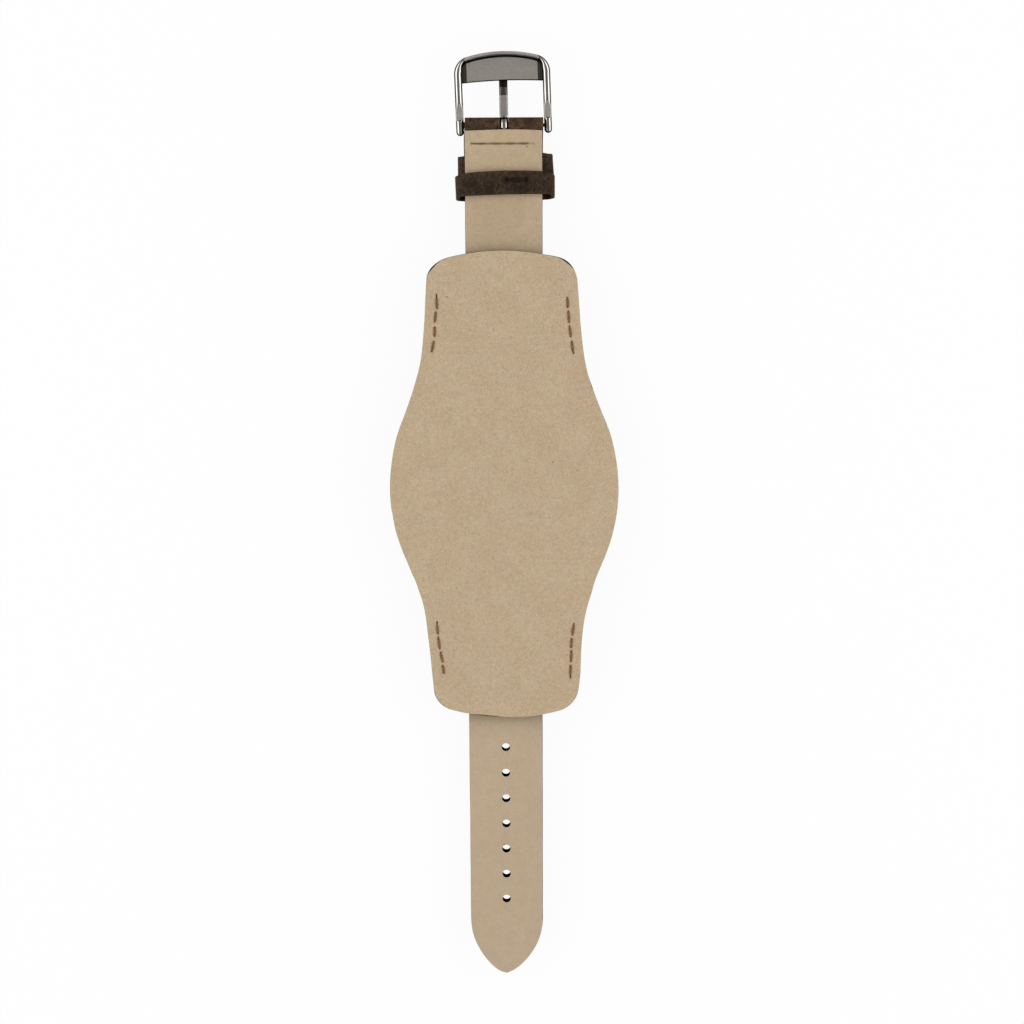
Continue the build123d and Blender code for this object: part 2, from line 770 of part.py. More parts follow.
# Tongue: rolled round the bar, then bent out to lie on the front of the plate
loop_inner_radius = bar_radius + tongue_gap
loop_outer_radius = loop_inner_radius + tongue_loop_wall
tongue_back_z = plate_front_z - tongue_gap
tongue_front_z = tongue_back_z - tongue_thickness
tongue_bend_y = buckle_bar_y + tongue_bend_reach
tongue_tip_y = buckle_bar_y + tongue_reach
with BuildPart() as buckle_tongue:
    with BuildSketch(Plane.YZ):
        with BuildLine():
            FilletPolyline(
                (tongue_tip_y, tongue_back_z),
                (tongue_bend_y, tongue_back_z),
                (buckle_bar_y, bar_z + tongue_thickness / 2),
                radius=tongue_bend_radius,
            )
            FilletPolyline(
                (tongue_tip_y, tongue_front_z),
                (tongue_bend_y, tongue_front_z),
                (buckle_bar_y, bar_z - tongue_thickness / 2),
                radius=tongue_bend_radius,
            )
            Line((tongue_tip_y, tongue_back_z), (tongue_tip_y, tongue_front_z))
            Line(
                (buckle_bar_y, bar_z + tongue_thickness / 2),
                (buckle_bar_y, bar_z - tongue_thickness / 2),
            )
        make_face()
        with Locations((buckle_bar_y, bar_z)):
            Circle(loop_outer_radius)
            Circle(loop_inner_radius, mode=Mode.SUBTRACT)
    extrude(amount=tongue_width / 2, both=True)
    tip_edges = buckle_tongue.edges().filter_by(Axis.Z).group_by(Axis.Y)[-1]
    fillet(tip_edges, radius=tongue_tip_radius)
buckle_tongue.part.label = "buckle_tongue"
export_step(buckle_tongue.part, "parts/buckle_tongue.step")
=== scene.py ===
import logging
import math
from collections.abc import Callable, Iterable, Sequence
from dataclasses import dataclass, field
from enum import Enum

import bmesh
import bpy
from mathutils import Matrix, Vector, geometry, noise


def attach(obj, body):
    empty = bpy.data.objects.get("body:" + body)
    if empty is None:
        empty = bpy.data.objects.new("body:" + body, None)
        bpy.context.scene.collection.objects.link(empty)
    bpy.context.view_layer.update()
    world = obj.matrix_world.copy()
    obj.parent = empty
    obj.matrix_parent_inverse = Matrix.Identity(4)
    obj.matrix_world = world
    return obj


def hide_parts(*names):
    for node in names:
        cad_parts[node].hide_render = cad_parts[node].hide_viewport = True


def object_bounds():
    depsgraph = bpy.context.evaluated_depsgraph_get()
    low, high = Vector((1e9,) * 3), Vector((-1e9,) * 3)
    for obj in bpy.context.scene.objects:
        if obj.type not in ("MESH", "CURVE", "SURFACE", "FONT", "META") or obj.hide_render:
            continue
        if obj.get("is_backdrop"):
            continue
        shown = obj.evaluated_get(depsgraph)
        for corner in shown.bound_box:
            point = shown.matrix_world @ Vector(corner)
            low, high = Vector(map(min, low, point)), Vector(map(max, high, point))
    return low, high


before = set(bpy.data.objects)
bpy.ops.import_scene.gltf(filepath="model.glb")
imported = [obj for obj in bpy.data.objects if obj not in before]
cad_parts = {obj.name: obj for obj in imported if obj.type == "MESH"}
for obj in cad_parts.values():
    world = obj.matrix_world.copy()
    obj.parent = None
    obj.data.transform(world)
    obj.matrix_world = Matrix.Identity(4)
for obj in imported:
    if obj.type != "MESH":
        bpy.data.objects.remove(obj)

# A bund watch strap, wrist side up. Sizes are in millimetres until a piece is delivered.
MM = 0.001
AXIS_X = Vector((1, 0, 0))
AXIS_Y = Vector((0, 1, 0))
AXIS_Z = Vector((0, 0, 1))
FULL_TURN = 2 * math.pi
MERGE = 0.001
log = logging.getLogger("bund_strap")


class Body(Enum):
    """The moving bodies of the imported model."""

    PAD = "pad"
    BUCKLE_STRAP = "buckle_strap"
    FLOATING_KEEPER = "floating_keeper"
    BUCKLE = "buckle"
    TONGUE = "tongue"
    TAIL_STRAP = "tail_strap"


class Slot(Enum):
    """The record's material slots; each new piece's rider names one."""

    LINING = "lining_leather"
    FACE = "face_leather"
    KEEPER = "keeper_leather"
    STIFFENER = "stiffener"
    GOLDEN_THREAD = "golden_thread"
    DARK_THREAD = "dark_thread"
    STEEL = "polished_steel"


class Mark(Enum):
    """What a painted point attribute on a sheet stands for."""

    # painted shade in stitch holes and grooves, and small dark dots, where the sheet is pressed in
    PRESSED = "pressed"
    # real stains, and painted shade: the pad's shadow, darkening in creases and near the keepers
    STAIN = "stain"


# Shading


@dataclass(frozen=True)
class Tint:
    """A colour as it reads on screen, from 0 to 255."""

    red: float
    green: float
    blue: float

    def linear(self) -> tuple[float, float, float, float]:
        """The colour in scene-linear values, with full alpha."""
        return (*(self._channel(value / 255) for value in (self.red, self.green, self.blue)), 1.0)

    @staticmethod
    def _channel(value: float) -> float:
        """One screen value, 0 to 1, made linear."""
        return value / 12.92 if value <= 0.04045 else ((value + 0.055) / 1.055) ** 2.4

    def times(self, amount: float) -> "Tint":
        """The same hue, lighter or darker by a factor."""
        return Tint(*(min(255.0, value * amount) for value in (self.red, self.green, self.blue)))


class NodeBoard:
    """Adds and wires the nodes of one material or node group."""

    def __init__(self, tree: bpy.types.NodeTree) -> None:
        """Starts on an emptied tree."""
        self.tree = tree
        tree.nodes.clear()

    def fill(self, node: bpy.types.Node, inputs: dict) -> None:
        """Sets a node's inputs.

        Args:
            node: The node.
            inputs: Socket name or number to a value, or to a socket to link from.
        """
        for key, value in inputs.items():
            if isinstance(value, bpy.types.NodeSocket):
                self.tree.links.new(value, node.inputs[key])
            else:
                node.inputs[key].default_value = value

    def add(self, kind: str, inputs: dict | None = None, **settings: object) -> bpy.types.Node:
        """Adds a node.

        Args:
            kind: The node's Blender type.
            inputs: Its inputs, as fill takes them.
            **settings: The node's own properties.

        Returns:
            The new node.
        """
        node = self.tree.nodes.new(kind)
        for key, value in settings.items():
            setattr(node, key, value)
        self.fill(node, inputs or {})
        return node

    def math(self, operation: str, first: object, second: object = 0.0) -> bpy.types.NodeSocket:
        """A Math node's result for two values or sockets."""
        return self.add("ShaderNodeMath", {0: first, 1: second}, operation=operation).outputs[0]

    def vector(self, operation: str, first: object, second: object) -> bpy.types.NodeSocket:
        """A Vector Math node's result for two vectors or sockets."""
        return self.add("ShaderNodeVectorMath", {0: first, 1: second}, operation=operation).outputs[0]

    def ramp(self, value: object, low: float, high: float, top: float = 1.0) -> bpy.types.NodeSocket:
        """A smooth step from 0 to top as a value goes from low to high."""
        sockets = {"Value": value, "From Min": low, "From Max": high, "To Max": top}
        return self.add("ShaderNodeMapRange", sockets, interpolation_type="SMOOTHSTEP").outputs[0]

    def blend(self, share: object, first: object, second: object) -> bpy.types.NodeSocket:
        """A mix of two colours or colour sockets."""
        return self.add("ShaderNodeMix", {0: share, 6: first, 7: second}, data_type="RGBA").outputs[2]

    def coat(self, base: Tint, *layers: tuple[object, Tint]) -> bpy.types.NodeSocket:
        """Lays tints over a colour.

        Args:
            base: The colour.
            *layers: Each tint's share, and the tint.

        Returns:
            The colour that comes out.
        """
        colour = base.linear()
        for share, tint in layers:
            colour = self.blend(share, colour, tint.linear())
        return colour

    def noise(
        self, vector: object, scale: object, detail: float = 3.0, rough: float = 0.55
    ) -> bpy.types.NodeSocket:
        """A noise texture's value."""
        sockets = {"Vector": vector, "Scale": scale, "Detail": detail, "Roughness": rough}
        return self.add("ShaderNodeTexNoise", sockets).outputs[0]

    def cells(self, sockets: dict, **settings: object) -> bpy.types.NodeOutputs:
        """A cell texture's outputs."""
        return self.add("ShaderNodeTexVoronoi", sockets, **settings).outputs

    def bump(self, height: object, depth: float) -> bpy.types.NodeSocket:
        """The normals of a surface raised by a height, in millimetres, times a depth."""
        return self.add("ShaderNodeBump", {"Height": height, "Distance": depth * MM}).outputs[0]

    def millimetres(self) -> bpy.types.NodeSocket:
        """The object's own coordinates in millimetres."""
        return self.vector("MULTIPLY", self.add("ShaderNodeTexCoord").outputs["Object"], (1 / MM,) * 3)

    def attribute(self, mark: Mark) -> bpy.types.NodeSocket:
        """A painted point attribute's value."""
        return self.add("ShaderNodeAttribute", attribute_name=mark.value).outputs["Fac"]


class Effect:
    """A surface effect that several finishes share, kept as one node group."""

    title = ""
    sockets_in: tuple[tuple[str, str, object], ...] = ()
    sockets_out: tuple[str, ...] = ()

    def tree(self) -> bpy.types.NodeTree:
        """Builds the effect's node group, the first time that it is asked for.

        Returns:
            The node group.
        """
        known = bpy.data.node_groups.get(self.title)
        if known is not None:
            return known
        group = bpy.data.node_groups.new(self.title, "ShaderNodeTree")
        for name, kind, default in self.sockets_in:
            socket = group.interface.new_socket(name, in_out="INPUT", socket_type=kind)
            if default is not None:
                socket.default_value = default
        for name in self.sockets_out:
            group.interface.new_socket(name, in_out="OUTPUT", socket_type="NodeSocketFloat")
        board = NodeBoard(group)
        given = board.add("NodeGroupInput")
        board.add("NodeGroupOutput", dict(zip(self.sockets_out, self.wire(board, given.outputs))))
        return group

    def wire(self, board: NodeBoard, given: bpy.types.NodeOutputs) -> Sequence[bpy.types.NodeSocket]:
        """Wires the group's inside."""
        raise NotImplementedError

    def place(self, board: NodeBoard, **values: object) -> dict[str, bpy.types.NodeSocket]:
        """Puts the effect in a material.

        Args:
            board: The material's board.
            **values: Input name, in lower case, to a value or socket.

        Returns:
            Output name to socket.
        """
        node = board.add("ShaderNodeGroup", node_tree=self.tree())
        board.fill(node, {key.capitalize(): value for key, value in values.items()})
        return {name: node.outputs[name] for name in self.sockets_out}


class Grain(Effect):
    """The fine cells, pores and hairlines of a leather's skin."""

    title = "Leather grain"
    sockets_in = (
        ("Vector", "NodeSocketVector", None),
        ("Cell", "NodeSocketFloat", 0.35),
        ("Fibre", "NodeSocketFloat", 0.5),
    )
    sockets_out = ("Height", "Pits", "Fibres")

    def wire(self, board: NodeBoard, given: bpy.types.NodeOutputs) -> Sequence[bpy.types.NodeSocket]:
        """Wires cells between pores, over a finer fibre noise.

        Args:
            board: The group's board.
            given: The group's inputs.

        Returns:
            The height, the pits between the cells, and the fibres.
        """
        pitch = board.math("DIVIDE", 1.0, given["Cell"])
        swirl = board.add("ShaderNodeTexNoise", {"Vector": given["Vector"], "Scale": 0.9, "Detail": 2.0})
        drift = board.vector("MULTIPLY", swirl.outputs["Color"], (0.35, 0.35, 0.35))
        bent = board.vector("ADD", given["Vector"], drift)
        cells = board.cells({"Vector": bent, "Scale": pitch}, feature="DISTANCE_TO_EDGE")
        plateau = board.ramp(cells["Distance"], 0.0, 0.22)
        fine = board.noise(bent, board.math("MULTIPLY", pitch, 2.6), 4.0, 0.62)
        squashed = board.vector("MULTIPLY", bent, (1.0, 0.8, 1.0))
        fibres = board.noise(squashed, board.math("MULTIPLY", pitch, 0.9), 3.0, 0.6)
        rough = board.math("MULTIPLY", fine, given["Fibre"])
        height = board.math("ADD", board.math("MULTIPLY", plateau, 0.5), rough)
        return height, board.math("SUBTRACT", 1.0, plateau), fibres


class Mottle(Effect):
    """Soft patches of uneven colour, and rare small dark specks."""

    title = "Leather mottle"
    sockets_in = (
        ("Vector", "NodeSocketVector", None),
        ("Patch", "NodeSocketFloat", 12.0),
        ("Speck", "NodeSocketFloat", 6.0),
    )
    sockets_out = ("Patches", "Clouds", "Specks")

    def wire(self, board: NodeBoard, given: bpy.types.NodeOutputs) -> Sequence[bpy.types.NodeSocket]:
        """Wires two sizes of cloud and a sparse scatter of points.

        Args:
            board: The group's board.
            given: The group's inputs.

        Returns:
            The large patches, the small clouds, and the specks.
        """
        place = given["Vector"]
        scale = board.math("DIVIDE", 1.0, given["Patch"])
        patches = board.noise(place, scale, 2.0, 0.5)
        clouds = board.noise(place, board.math("MULTIPLY", scale, 5.0), 4.0, 0.65)
        cells = board.cells({"Vector": place, "Scale": board.math("DIVIDE", 1.0, given["Speck"])})
        chance = board.add("ShaderNodeSeparateColor", {0: cells["Color"]}).outputs[0]
        near = board.ramp(board.math("MULTIPLY", cells["Distance"], given["Speck"]), 0.26, 0.10)
        return patches, clouds, board.math("MULTIPLY", board.ramp(chance, 0.80, 0.90), near)


class Wear(Effect):
    """Where a piece's edges and corners are rubbed."""

    title = "Rubbed edges"
    sockets_in = (("Vector", "NodeSocketVector", None), ("Reach", "NodeSocketFloat", 0.08))
    sockets_out = ("Rubbed",)

    def wire(self, board: NodeBoard, given: bpy.types.NodeOutputs) -> Sequence[bpy.types.NodeSocket]:
        """Wires sharp outward edges, broken up by noise.

        Args:
            board: The group's board.
            given: The group's inputs.

        Returns:
            How far a place is rubbed.
        """
        edge = board.add("ShaderNodeNewGeometry").outputs["Pointiness"]
        share = board.math("DIVIDE", board.math("SUBTRACT", edge, 0.5), given["Reach"])
        clamped = board.add("ShaderNodeClamp", {0: share}).outputs[0]
        patchy = board.ramp(board.noise(given["Vector"], 0.8, 4.0, 0.7), 0.35, 0.65)
        return (board.math("MULTIPLY", clamped, patchy),)


class Scratches(Effect):
    """Hairline scratches and smudges on steel, drawn out along one direction."""

    title = "Steel hairlines"
    sockets_in = (("Vector", "NodeSocketVector", None), ("Stretch", "NodeSocketVector", (1.0, 1.0, 1.0)))
    sockets_out = ("Lines", "Smudges")

    def wire(self, board: NodeBoard, given: bpy.types.NodeOutputs) -> Sequence[bpy.types.NodeSocket]:
        """Wires a stretched fine noise and a soft large one."""
        drawn = board.vector("MULTIPLY", given["Vector"], given["Stretch"])
        return board.noise(drawn, 6.0, 3.0, 0.6), board.noise(given["Vector"], 0.35, 3.0, 0.5)


@dataclass(frozen=True)
class Finish:
    """A finish that becomes one Blender material."""

    name: str

    def material(self) -> bpy.types.Material:
        """Builds the finish's material, the first time that it is asked for.

        Returns:
            The material.
        """
        known = bpy.data.materials.get(self.name)
        if known is not None:
            return known
        made = bpy.data.materials.new(self.name)
        made.use_nodes = True
        board = NodeBoard(made.node_tree)
        shader = board.add("ShaderNodeBsdfPrincipled")
        board.add("ShaderNodeOutputMaterial", {"Surface": shader.outputs[0]})
        board.fill(shader, self.wire(board))
        return made

    def wire(self, board: NodeBoard) -> dict[str, object]:
        """Wires the finish."""
        raise NotImplementedError


@dataclass(frozen=True)
class Leather(Finish):
    """A leather's skin: its colour, how uneven it is, and its grain."""

    skin: Tint
    shade: Tint
    glow: Tint
    cell: float = 0.35
    grain_depth: float = 0.03
    roughness: float = 0.8
    patch: float = 12.0
    patchiness: float = 0.5
    rubbed: Tint | None = None
    specks: float = 0.6
    fibres: float = 0.4
    gloss: float = 0.06

    def wire(self, board: NodeBoard) -> dict[str, object]:
        """Wires patches of two tones, dark pores, stains, painted shade in stitch holes and grooves and where
        shade falls, and rubbed edges.

        Args:
            board: The material's board.

        Returns:
            The shader's inputs.
        """
        place = board.millimetres()
        grain = Grain().place(board, vector=place, cell=self.cell)
        mottle = Mottle().place(board, vector=place, patch=self.patch)
        colour = board.coat(
            self.skin,
            (board.ramp(mottle["Patches"], 0.3, 0.7, self.patchiness), self.glow),
            (board.ramp(mottle["Clouds"], 0.35, 0.75, self.patchiness), self.shade),
            (board.ramp(grain["Fibres"], 0.52, 0.72, self.fibres), self.glow.times(1.06)),
            (board.ramp(grain["Fibres"], 0.48, 0.28, self.fibres), self.shade.times(0.86)),
            (board.math("MULTIPLY", grain["Pits"], self.fibres * 0.6), self.shade.times(0.82)),
            (board.math("MULTIPLY", mottle["Specks"], self.specks), self.shade.times(0.35)),
            # stains, and the painted shade and shadow that the same attribute carries
            (board.math("MULTIPLY", board.attribute(Mark.STAIN), 0.75), self.shade.times(0.62)),
            # painted shade in stitch holes and grooves, and small dark dots
            (board.attribute(Mark.PRESSED), self.shade.times(0.12)),
        )
        if self.rubbed is not None:
            worn = Wear().place(board, vector=place)["Rubbed"]
            colour = board.blend(board.math("MULTIPLY", worn, 0.8), colour, self.rubbed.linear())
        spread = board.math("MULTIPLY", mottle["Clouds"], 0.16)
        return {
            "Base Color": colour,
            "Roughness": board.math("ADD", spread, self.roughness - 0.08),
            "Specular IOR Level": self.gloss,
            "Normal": board.bump(grain["Height"], self.grain_depth),
        }


@dataclass(frozen=True)
class CutEdge(Finish):
    """The cut side of a leather, where its fibres show in layers."""

    heart: Tint
    rim: Tint

    def wire(self, board: NodeBoard) -> dict[str, object]:
        """Wires fibres drawn out along the edge, over an uneven dye.

        Args:
            board: The material's board.

        Returns:
            The shader's inputs.
        """
        place = board.millimetres()
        fibres = board.noise(board.vector("MULTIPLY", place, (1.2, 1.2, 6.0)), 1.4, 5.0, 0.65)
        colour = board.coat(
            self.heart,
            (board.ramp(board.noise(place, 0.5, 3.0), 0.35, 0.65), self.rim),
            (board.ramp(fibres, 0.35, 0.7, 0.45), self.heart.times(0.6)),
        )
        return {
            "Base Color": colour,
            "Roughness": board.ramp(fibres, 0.0, 1.0, 0.95),
            "Specular IOR Level": 0.0,
            "Normal": board.bump(fibres, 0.05),
        }


@dataclass(frozen=True)
class Thread(Finish):
    """Waxed thread: its plies are in the mesh, its fibres and uneven dye are here."""

    dye: Tint
    deep: Tint
    roughness: float = 0.55

    def wire(self, board: NodeBoard) -> dict[str, object]:
        """Wires fine fibres, and darker places where the wax has gathered.

        Args:
            board: The material's board.

        Returns:
            The shader's inputs.
        """
        place = board.millimetres()
        fibres = board.noise(place, 9.0, 4.0, 0.7)
        colour = board.coat(
            self.dye,
            (board.ramp(board.noise(place, 1.6, 2.0), 0.35, 0.65, 0.7), self.deep),
            (board.ramp(fibres, 0.4, 0.7, 0.5), self.dye.times(1.25)),
        )
        return {
            "Base Color": colour,
            "Roughness": board.math("ADD", board.math("MULTIPLY", fibres, 0.3), self.roughness),
            "Specular IOR Level": 0.2,
            "Normal": board.bump(fibres, 0.03),
        }


@dataclass(frozen=True)
class Steel(Finish):
    """Steel, polished or brushed along one direction."""

    metal: Tint
    roughness: float = 0.1
    stretch: tuple[float, float, float] = (4.0, 0.2, 4.0)
    line_depth: float = 0.002
    uneven: float = 0.08
    streak: float = 0.0
    # how far the colour is darkened towards grazing angles: a painted dark reflection of the surroundings
    painted_edge_shade: float = 0.0
    rim_tint: float = 1.0

    def wire(self, board: NodeBoard) -> dict[str, object]:
        """Wires hairlines in the surface, smudges in its gloss, and a painted dark reflection where it turns
        away.

        Args:
            board: The material's board.

        Returns:
            The shader's inputs.
        """
        marks = Scratches().place(board, vector=board.millimetres(), stretch=self.stretch)
        facing = board.add("ShaderNodeLayerWeight", {"Blend": 0.5}).outputs["Facing"]
        colour = board.coat(
            self.metal,
            (board.ramp(marks["Smudges"], 0.3, 0.7), self.metal.times(0.93)),
            (board.ramp(marks["Lines"], 0.35, 0.6, self.streak), self.metal.times(0.8)),
            # painted shade: the metal darkens where it turns away from the camera, standing in for dark
            # surroundings in its reflection
            (board.ramp(facing, 0.2, 0.36, self.painted_edge_shade), self.metal.times(0.25)),
        )
        dull = board.math("MULTIPLY", board.math("ADD", marks["Lines"], marks["Smudges"]), self.uneven)
        return {
            "Base Color": colour,
            "Metallic": 1.0,
            "Roughness": board.math("ADD", dull, max(0.02, self.roughness - self.uneven)),
            "Specular Tint": (*(self.rim_tint,) * 3, 1.0),
            "Normal": board.bump(marks["Lines"], self.line_depth),
        }


@dataclass(frozen=True)
class Board(Finish):
    """The stiffener between the leathers, seen only at their cut edges."""

    pulp: Tint

    def wire(self, board: NodeBoard) -> dict[str, object]:
        """Wires pressed fibres.

        Args:
            board: The material's board.

        Returns:
            The shader's inputs.
        """
        fibres = board.noise(board.millimetres(), 3.0, 4.0, 0.7)
        return {
            "Base Color": board.coat(self.pulp, (board.ramp(fibres, 0.3, 0.7), self.pulp.times(0.7))),
            "Roughness": 0.9,
            "Normal": board.bump(fibres, 0.03),
        }


PAD_LINING = Leather(
    "pad lining", Tint(189, 168, 139), Tint(179, 156, 127), Tint(199, 179, 150), patchiness=0.5, fibres=0.5,
    cell=0.42, patch=8.0,
)
STRAP_LINING = Leather(
    "strap lining", Tint(188, 167, 138), Tint(177, 154, 125), Tint(196, 176, 147), patchiness=0.5, fibres=0.3
)
TAIL_LINING = Leather(
    "tail lining", Tint(183, 164, 138), Tint(175, 153, 125), Tint(190, 171, 145), patchiness=0.4, fibres=0.2
)
FACE_SKIN = Leather(
    "face leather", Tint(57, 43, 31), Tint(36, 26, 18), Tint(80, 62, 46), cell=0.5, grain_depth=0.07,
    roughness=0.7, patch=5.0, patchiness=0.8, rubbed=Tint(92, 72, 52), specks=0.2, fibres=0.9, gloss=0.1,
)
KEEPER_SKIN = Leather(
    "keeper leather", Tint(51, 38, 27), Tint(33, 24, 17), Tint(80, 62, 46), cell=0.45, grain_depth=0.07,
    roughness=0.7, patch=4.0, patchiness=0.85, rubbed=Tint(84, 68, 52), specks=0.15, fibres=0.8, gloss=0.1,
)
FLESH_SIDE = Leather(
    "face leather flesh side", Tint(66, 51, 38), Tint(48, 36, 27), Tint(84, 67, 52), cell=0.3,
    grain_depth=0.09, roughness=0.9, patch=4.0, patchiness=0.8, specks=0.2, fibres=0.8,
)
LINING_CUT = CutEdge("lining cut edge", Tint(192, 170, 140), Tint(206, 190, 163))
FACE_CUT = CutEdge("face leather cut edge", Tint(48, 37, 29), Tint(70, 55, 43))
# near black: painted shade on the walls inside the punched holes
SHADED_HOLE_CUT = CutEdge("punched hole edge in painted shade", Tint(9, 8, 7), Tint(14, 12, 10))
KEEPER_CUT = CutEdge("keeper cut edge", Tint(66, 54, 44), Tint(96, 84, 72))
GOLDEN_THREAD = Thread("golden thread", Tint(132, 92, 50), Tint(84, 55, 28))
RUST_THREAD = Thread("rust brown thread", Tint(134, 98, 64), Tint(84, 58, 38))
DARK_THREAD = Thread("dark thread", Tint(40, 24, 18), Tint(22, 14, 11))
POLISHED = Steel(
    "polished steel", Tint(204, 201, 195), roughness=0.1, uneven=0.05, painted_edge_shade=0.95, rim_tint=0.12
)
SATIN = Steel(
    "satin steel", Tint(243, 236, 224), roughness=0.45, stretch=(0.25, 7.0, 7.0), line_depth=0.006,
    uneven=0.12, streak=0.9,
)
LOOP_STEEL = Steel(
    "rolled steel", Tint(240, 237, 231), roughness=0.06, uneven=0.03, painted_edge_shade=0.2, rim_tint=0.4
)
GROUND_STEEL = Steel("ground steel", Tint(222, 217, 209), roughness=0.5, painted_edge_shade=0.7, rim_tint=0.3)
RIM_STEEL = Steel("rim steel", Tint(246, 242, 233), roughness=0.42, painted_edge_shade=0.5, rim_tint=0.2)
TONGUE_STEEL = Steel("ground tongue steel", Tint(200, 196, 188), roughness=0.5, painted_edge_shade=0.95, rim_tint=0.15)
DEEP_SATIN = Steel("satin steel in shade", Tint(98, 94, 87), roughness=0.45, rim_tint=0.3)
SHADED_STEEL = Steel("shaded steel", Tint(38, 36, 33), roughness=0.5, rim_tint=0.1)
# darker than the frame's steel: painted shade for the bar, whose ends sit in shadow beside the folds
SHADED_BAR_STEEL = Steel("spring bar steel in painted shade", Tint(96, 93, 88), roughness=0.25, rim_tint=0.3)
STIFFENER = Board("stiffener board", Tint(60, 48, 38))
FACE_LAYERS = (FACE_SKIN, FACE_CUT, FLESH_SIDE)
KEEPER_LAYERS = (KEEPER_SKIN, KEEPER_CUT, FLESH_SIDE)


# Shaping


def turned(first: Vector, last: Vector, is_left: bool) -> float:
    """The signed angle from one flat direction to another, turning left or right."""
    turn = math.atan2(last.y, last.x) - math.atan2(first.y, first.x)
    return turn % FULL_TURN if is_left else -((-turn) % FULL_TURN)


def tangent_arc(start: Vector, heading: Vector, end: Vector) -> tuple[Vector, float, float]:
    """The arc that leaves a point along a heading and reaches another point, in a plane.

    Args:
        start: Where it leaves.
        heading: The unit direction that it leaves in.
        end: Where it arrives.

    Returns:
        Its centre, its radius, and the signed angle it turns through.
    """
    left = Vector((-heading.y, heading.x))
    away = end - start
    radius = away.length_squared / (2 * away.dot(left))
    centre = start + left * radius
    return centre, abs(radius), turned(start - centre, end - centre, radius > 0)


def touch_point(point: Vector, centre: Vector, radius: float, upper: bool) -> Vector:
    """Where a line from a point touches a circle.

    Args:
        point: The point.
        centre: The circle's centre.
        radius: Its radius.
        upper: Whether the higher of the two touching points is wanted.

    Returns:
        The touching point.
    """
    away = point - centre
    swing = math.acos(radius / away.length)
    bearing = math.atan2(away.y, away.x)
    touches = [centre + round_point(angle) * radius for angle in (bearing + swing, bearing - swing)]
    return (max if upper else min)(touches, key=lambda touch: touch.y)


def smooth(value: float, low: float, high: float) -> float:
    """A smooth step from 0 at low to 1 at high."""
    share = min(1.0, max(0.0, (value - low) / (high - low)))
    return share * share * (3 - 2 * share)


def swell(offset: float, reach: float) -> float:
    """A bell from 1, where an offset is 0, towards 0 past its reach."""
    return math.exp(-((offset / reach) ** 2))


def round_point(angle: float) -> Vector:
    """The unit direction at an angle, in a plane."""
    return Vector((math.cos(angle), math.sin(angle)))


def waviness(x: float, y: float, reach: float, seed: float) -> float:
    """A smooth random value from -1 to 1 at a place on a sheet."""
    return noise.noise(Vector((x / reach, y / reach, seed)))


class Chain:
    """A line of edges, drawn by pushing out and spinning its last vertex in the plane of X and Y."""

    def __init__(self, mesh: bmesh.types.BMesh, start: Sequence[float], heading: Sequence[float]) -> None:
        """Puts down the first vertex.

        Args:
            mesh: The mesh to draw in.
            start: Where the line starts.
            heading: The direction that it leaves in.
        """
        self.mesh = mesh
        self.tip = bmesh.ops.create_vert(mesh, co=(*start, 0))["vert"][0]
        self.heading = Vector(heading).normalized()

    def run(self, end: Sequence[float]) -> "Chain":
        """Draws a straight line.

        Args:
            end: Where it ends.

        Returns:
            The chain.
        """
        away = Vector(end) - self.tip.co.xy
        self.tip = bmesh.ops.extrude_vert_indiv(self.mesh, verts=[self.tip])["verts"][0]
        bmesh.ops.translate(self.mesh, vec=(*away, 0), verts=[self.tip])
        self.heading = away.normalized()
        return self

    def bend(self, end: Sequence[float], steps: int) -> "Chain":
        """Draws the arc that goes on from the line's heading.

        Args:
            end: Where it ends.
            steps: How many edges it has.

        Returns:
            The chain.
        """
        goal = Vector(end)
        centre, _, turn = tangent_arc(self.tip.co.xy, self.heading, goal)
        made = bmesh.ops.spin(
            self.mesh, geom=[self.tip], cent=(*centre, 0), axis=AXIS_Z, angle=turn, steps=steps
        )["geom_last"]
        self.tip = min(only(made, bmesh.types.BMVert), key=lambda vert: (vert.co.xy - goal).length)
        self.heading = Matrix.Rotation(turn, 2) @ self.heading
        return self


@dataclass(frozen=True)
class Press:
    """A place where a stitch, a hole, a stain or painted shade marks a sheet."""

    start: tuple[float, float]
    end: tuple[float, float]
    width: float
    depth: float = 0.0
    # how dark the mark is painted: painted shade in holes and grooves, and small dark dots
    dark: float = 0.0
    # how much the mark darkens the sheet: real stains, and painted shade and shadow for some marks
    stain: float = 0.0

    @classmethod
    def spot(cls, place: tuple[float, float], width: float, **strengths: float) -> "Press":
        """A round mark."""
        return cls(place, place, width, **strengths)

    def share(self, x: float, y: float) -> float:
        """How strongly the mark is felt at a place.

        Args:
            x: The place across the sheet.
            y: The place along it.

        Returns:
            From 0 to 1.
        """
        here, first, last = Vector((x, y)), Vector(self.start), Vector(self.end)
        line = last - first
        along = 0.0 if line.length_squared == 0 else (here - first).dot(line) / line.length_squared
        nearest = first + line * min(1.0, max(0.0, along))
        return swell((here - nearest).length, self.width)


def only(items: Iterable, kind: type) -> list:
    """The items of one kind: an operator gives back vertices, edges and faces together."""
    return [item for item in items if isinstance(item, kind)]


def extruded(mesh: bmesh.types.BMesh, edges: list) -> tuple[list, list]:
    """Extrudes a row of edges, in place.

    Args:
        mesh: The mesh.
        edges: The row.

    Returns:
        The new row's vertices and its edges.
    """
    made = bmesh.ops.extrude_edge_only(mesh, edges=edges)["geom"]
    verts = only(made, bmesh.types.BMVert)
    row = [edge for edge in only(made, bmesh.types.BMEdge) if all(vert in verts for vert in edge.verts)]
    return verts, row


@dataclass(frozen=True)
class Rider:
    """The body that a piece rides on, the CAD node that it stands for, and the slot of its finish."""

    body: Body
    node: str
    slot: Slot


@dataclass(frozen=True)
class Sheet:
    """What a flat piece is made of: behind its faces it gets a thickness, with rounded cut edges."""

    finishes: tuple[Finish, ...]
    thickness: float
    soften: float
    side: Vector = AXIS_Z


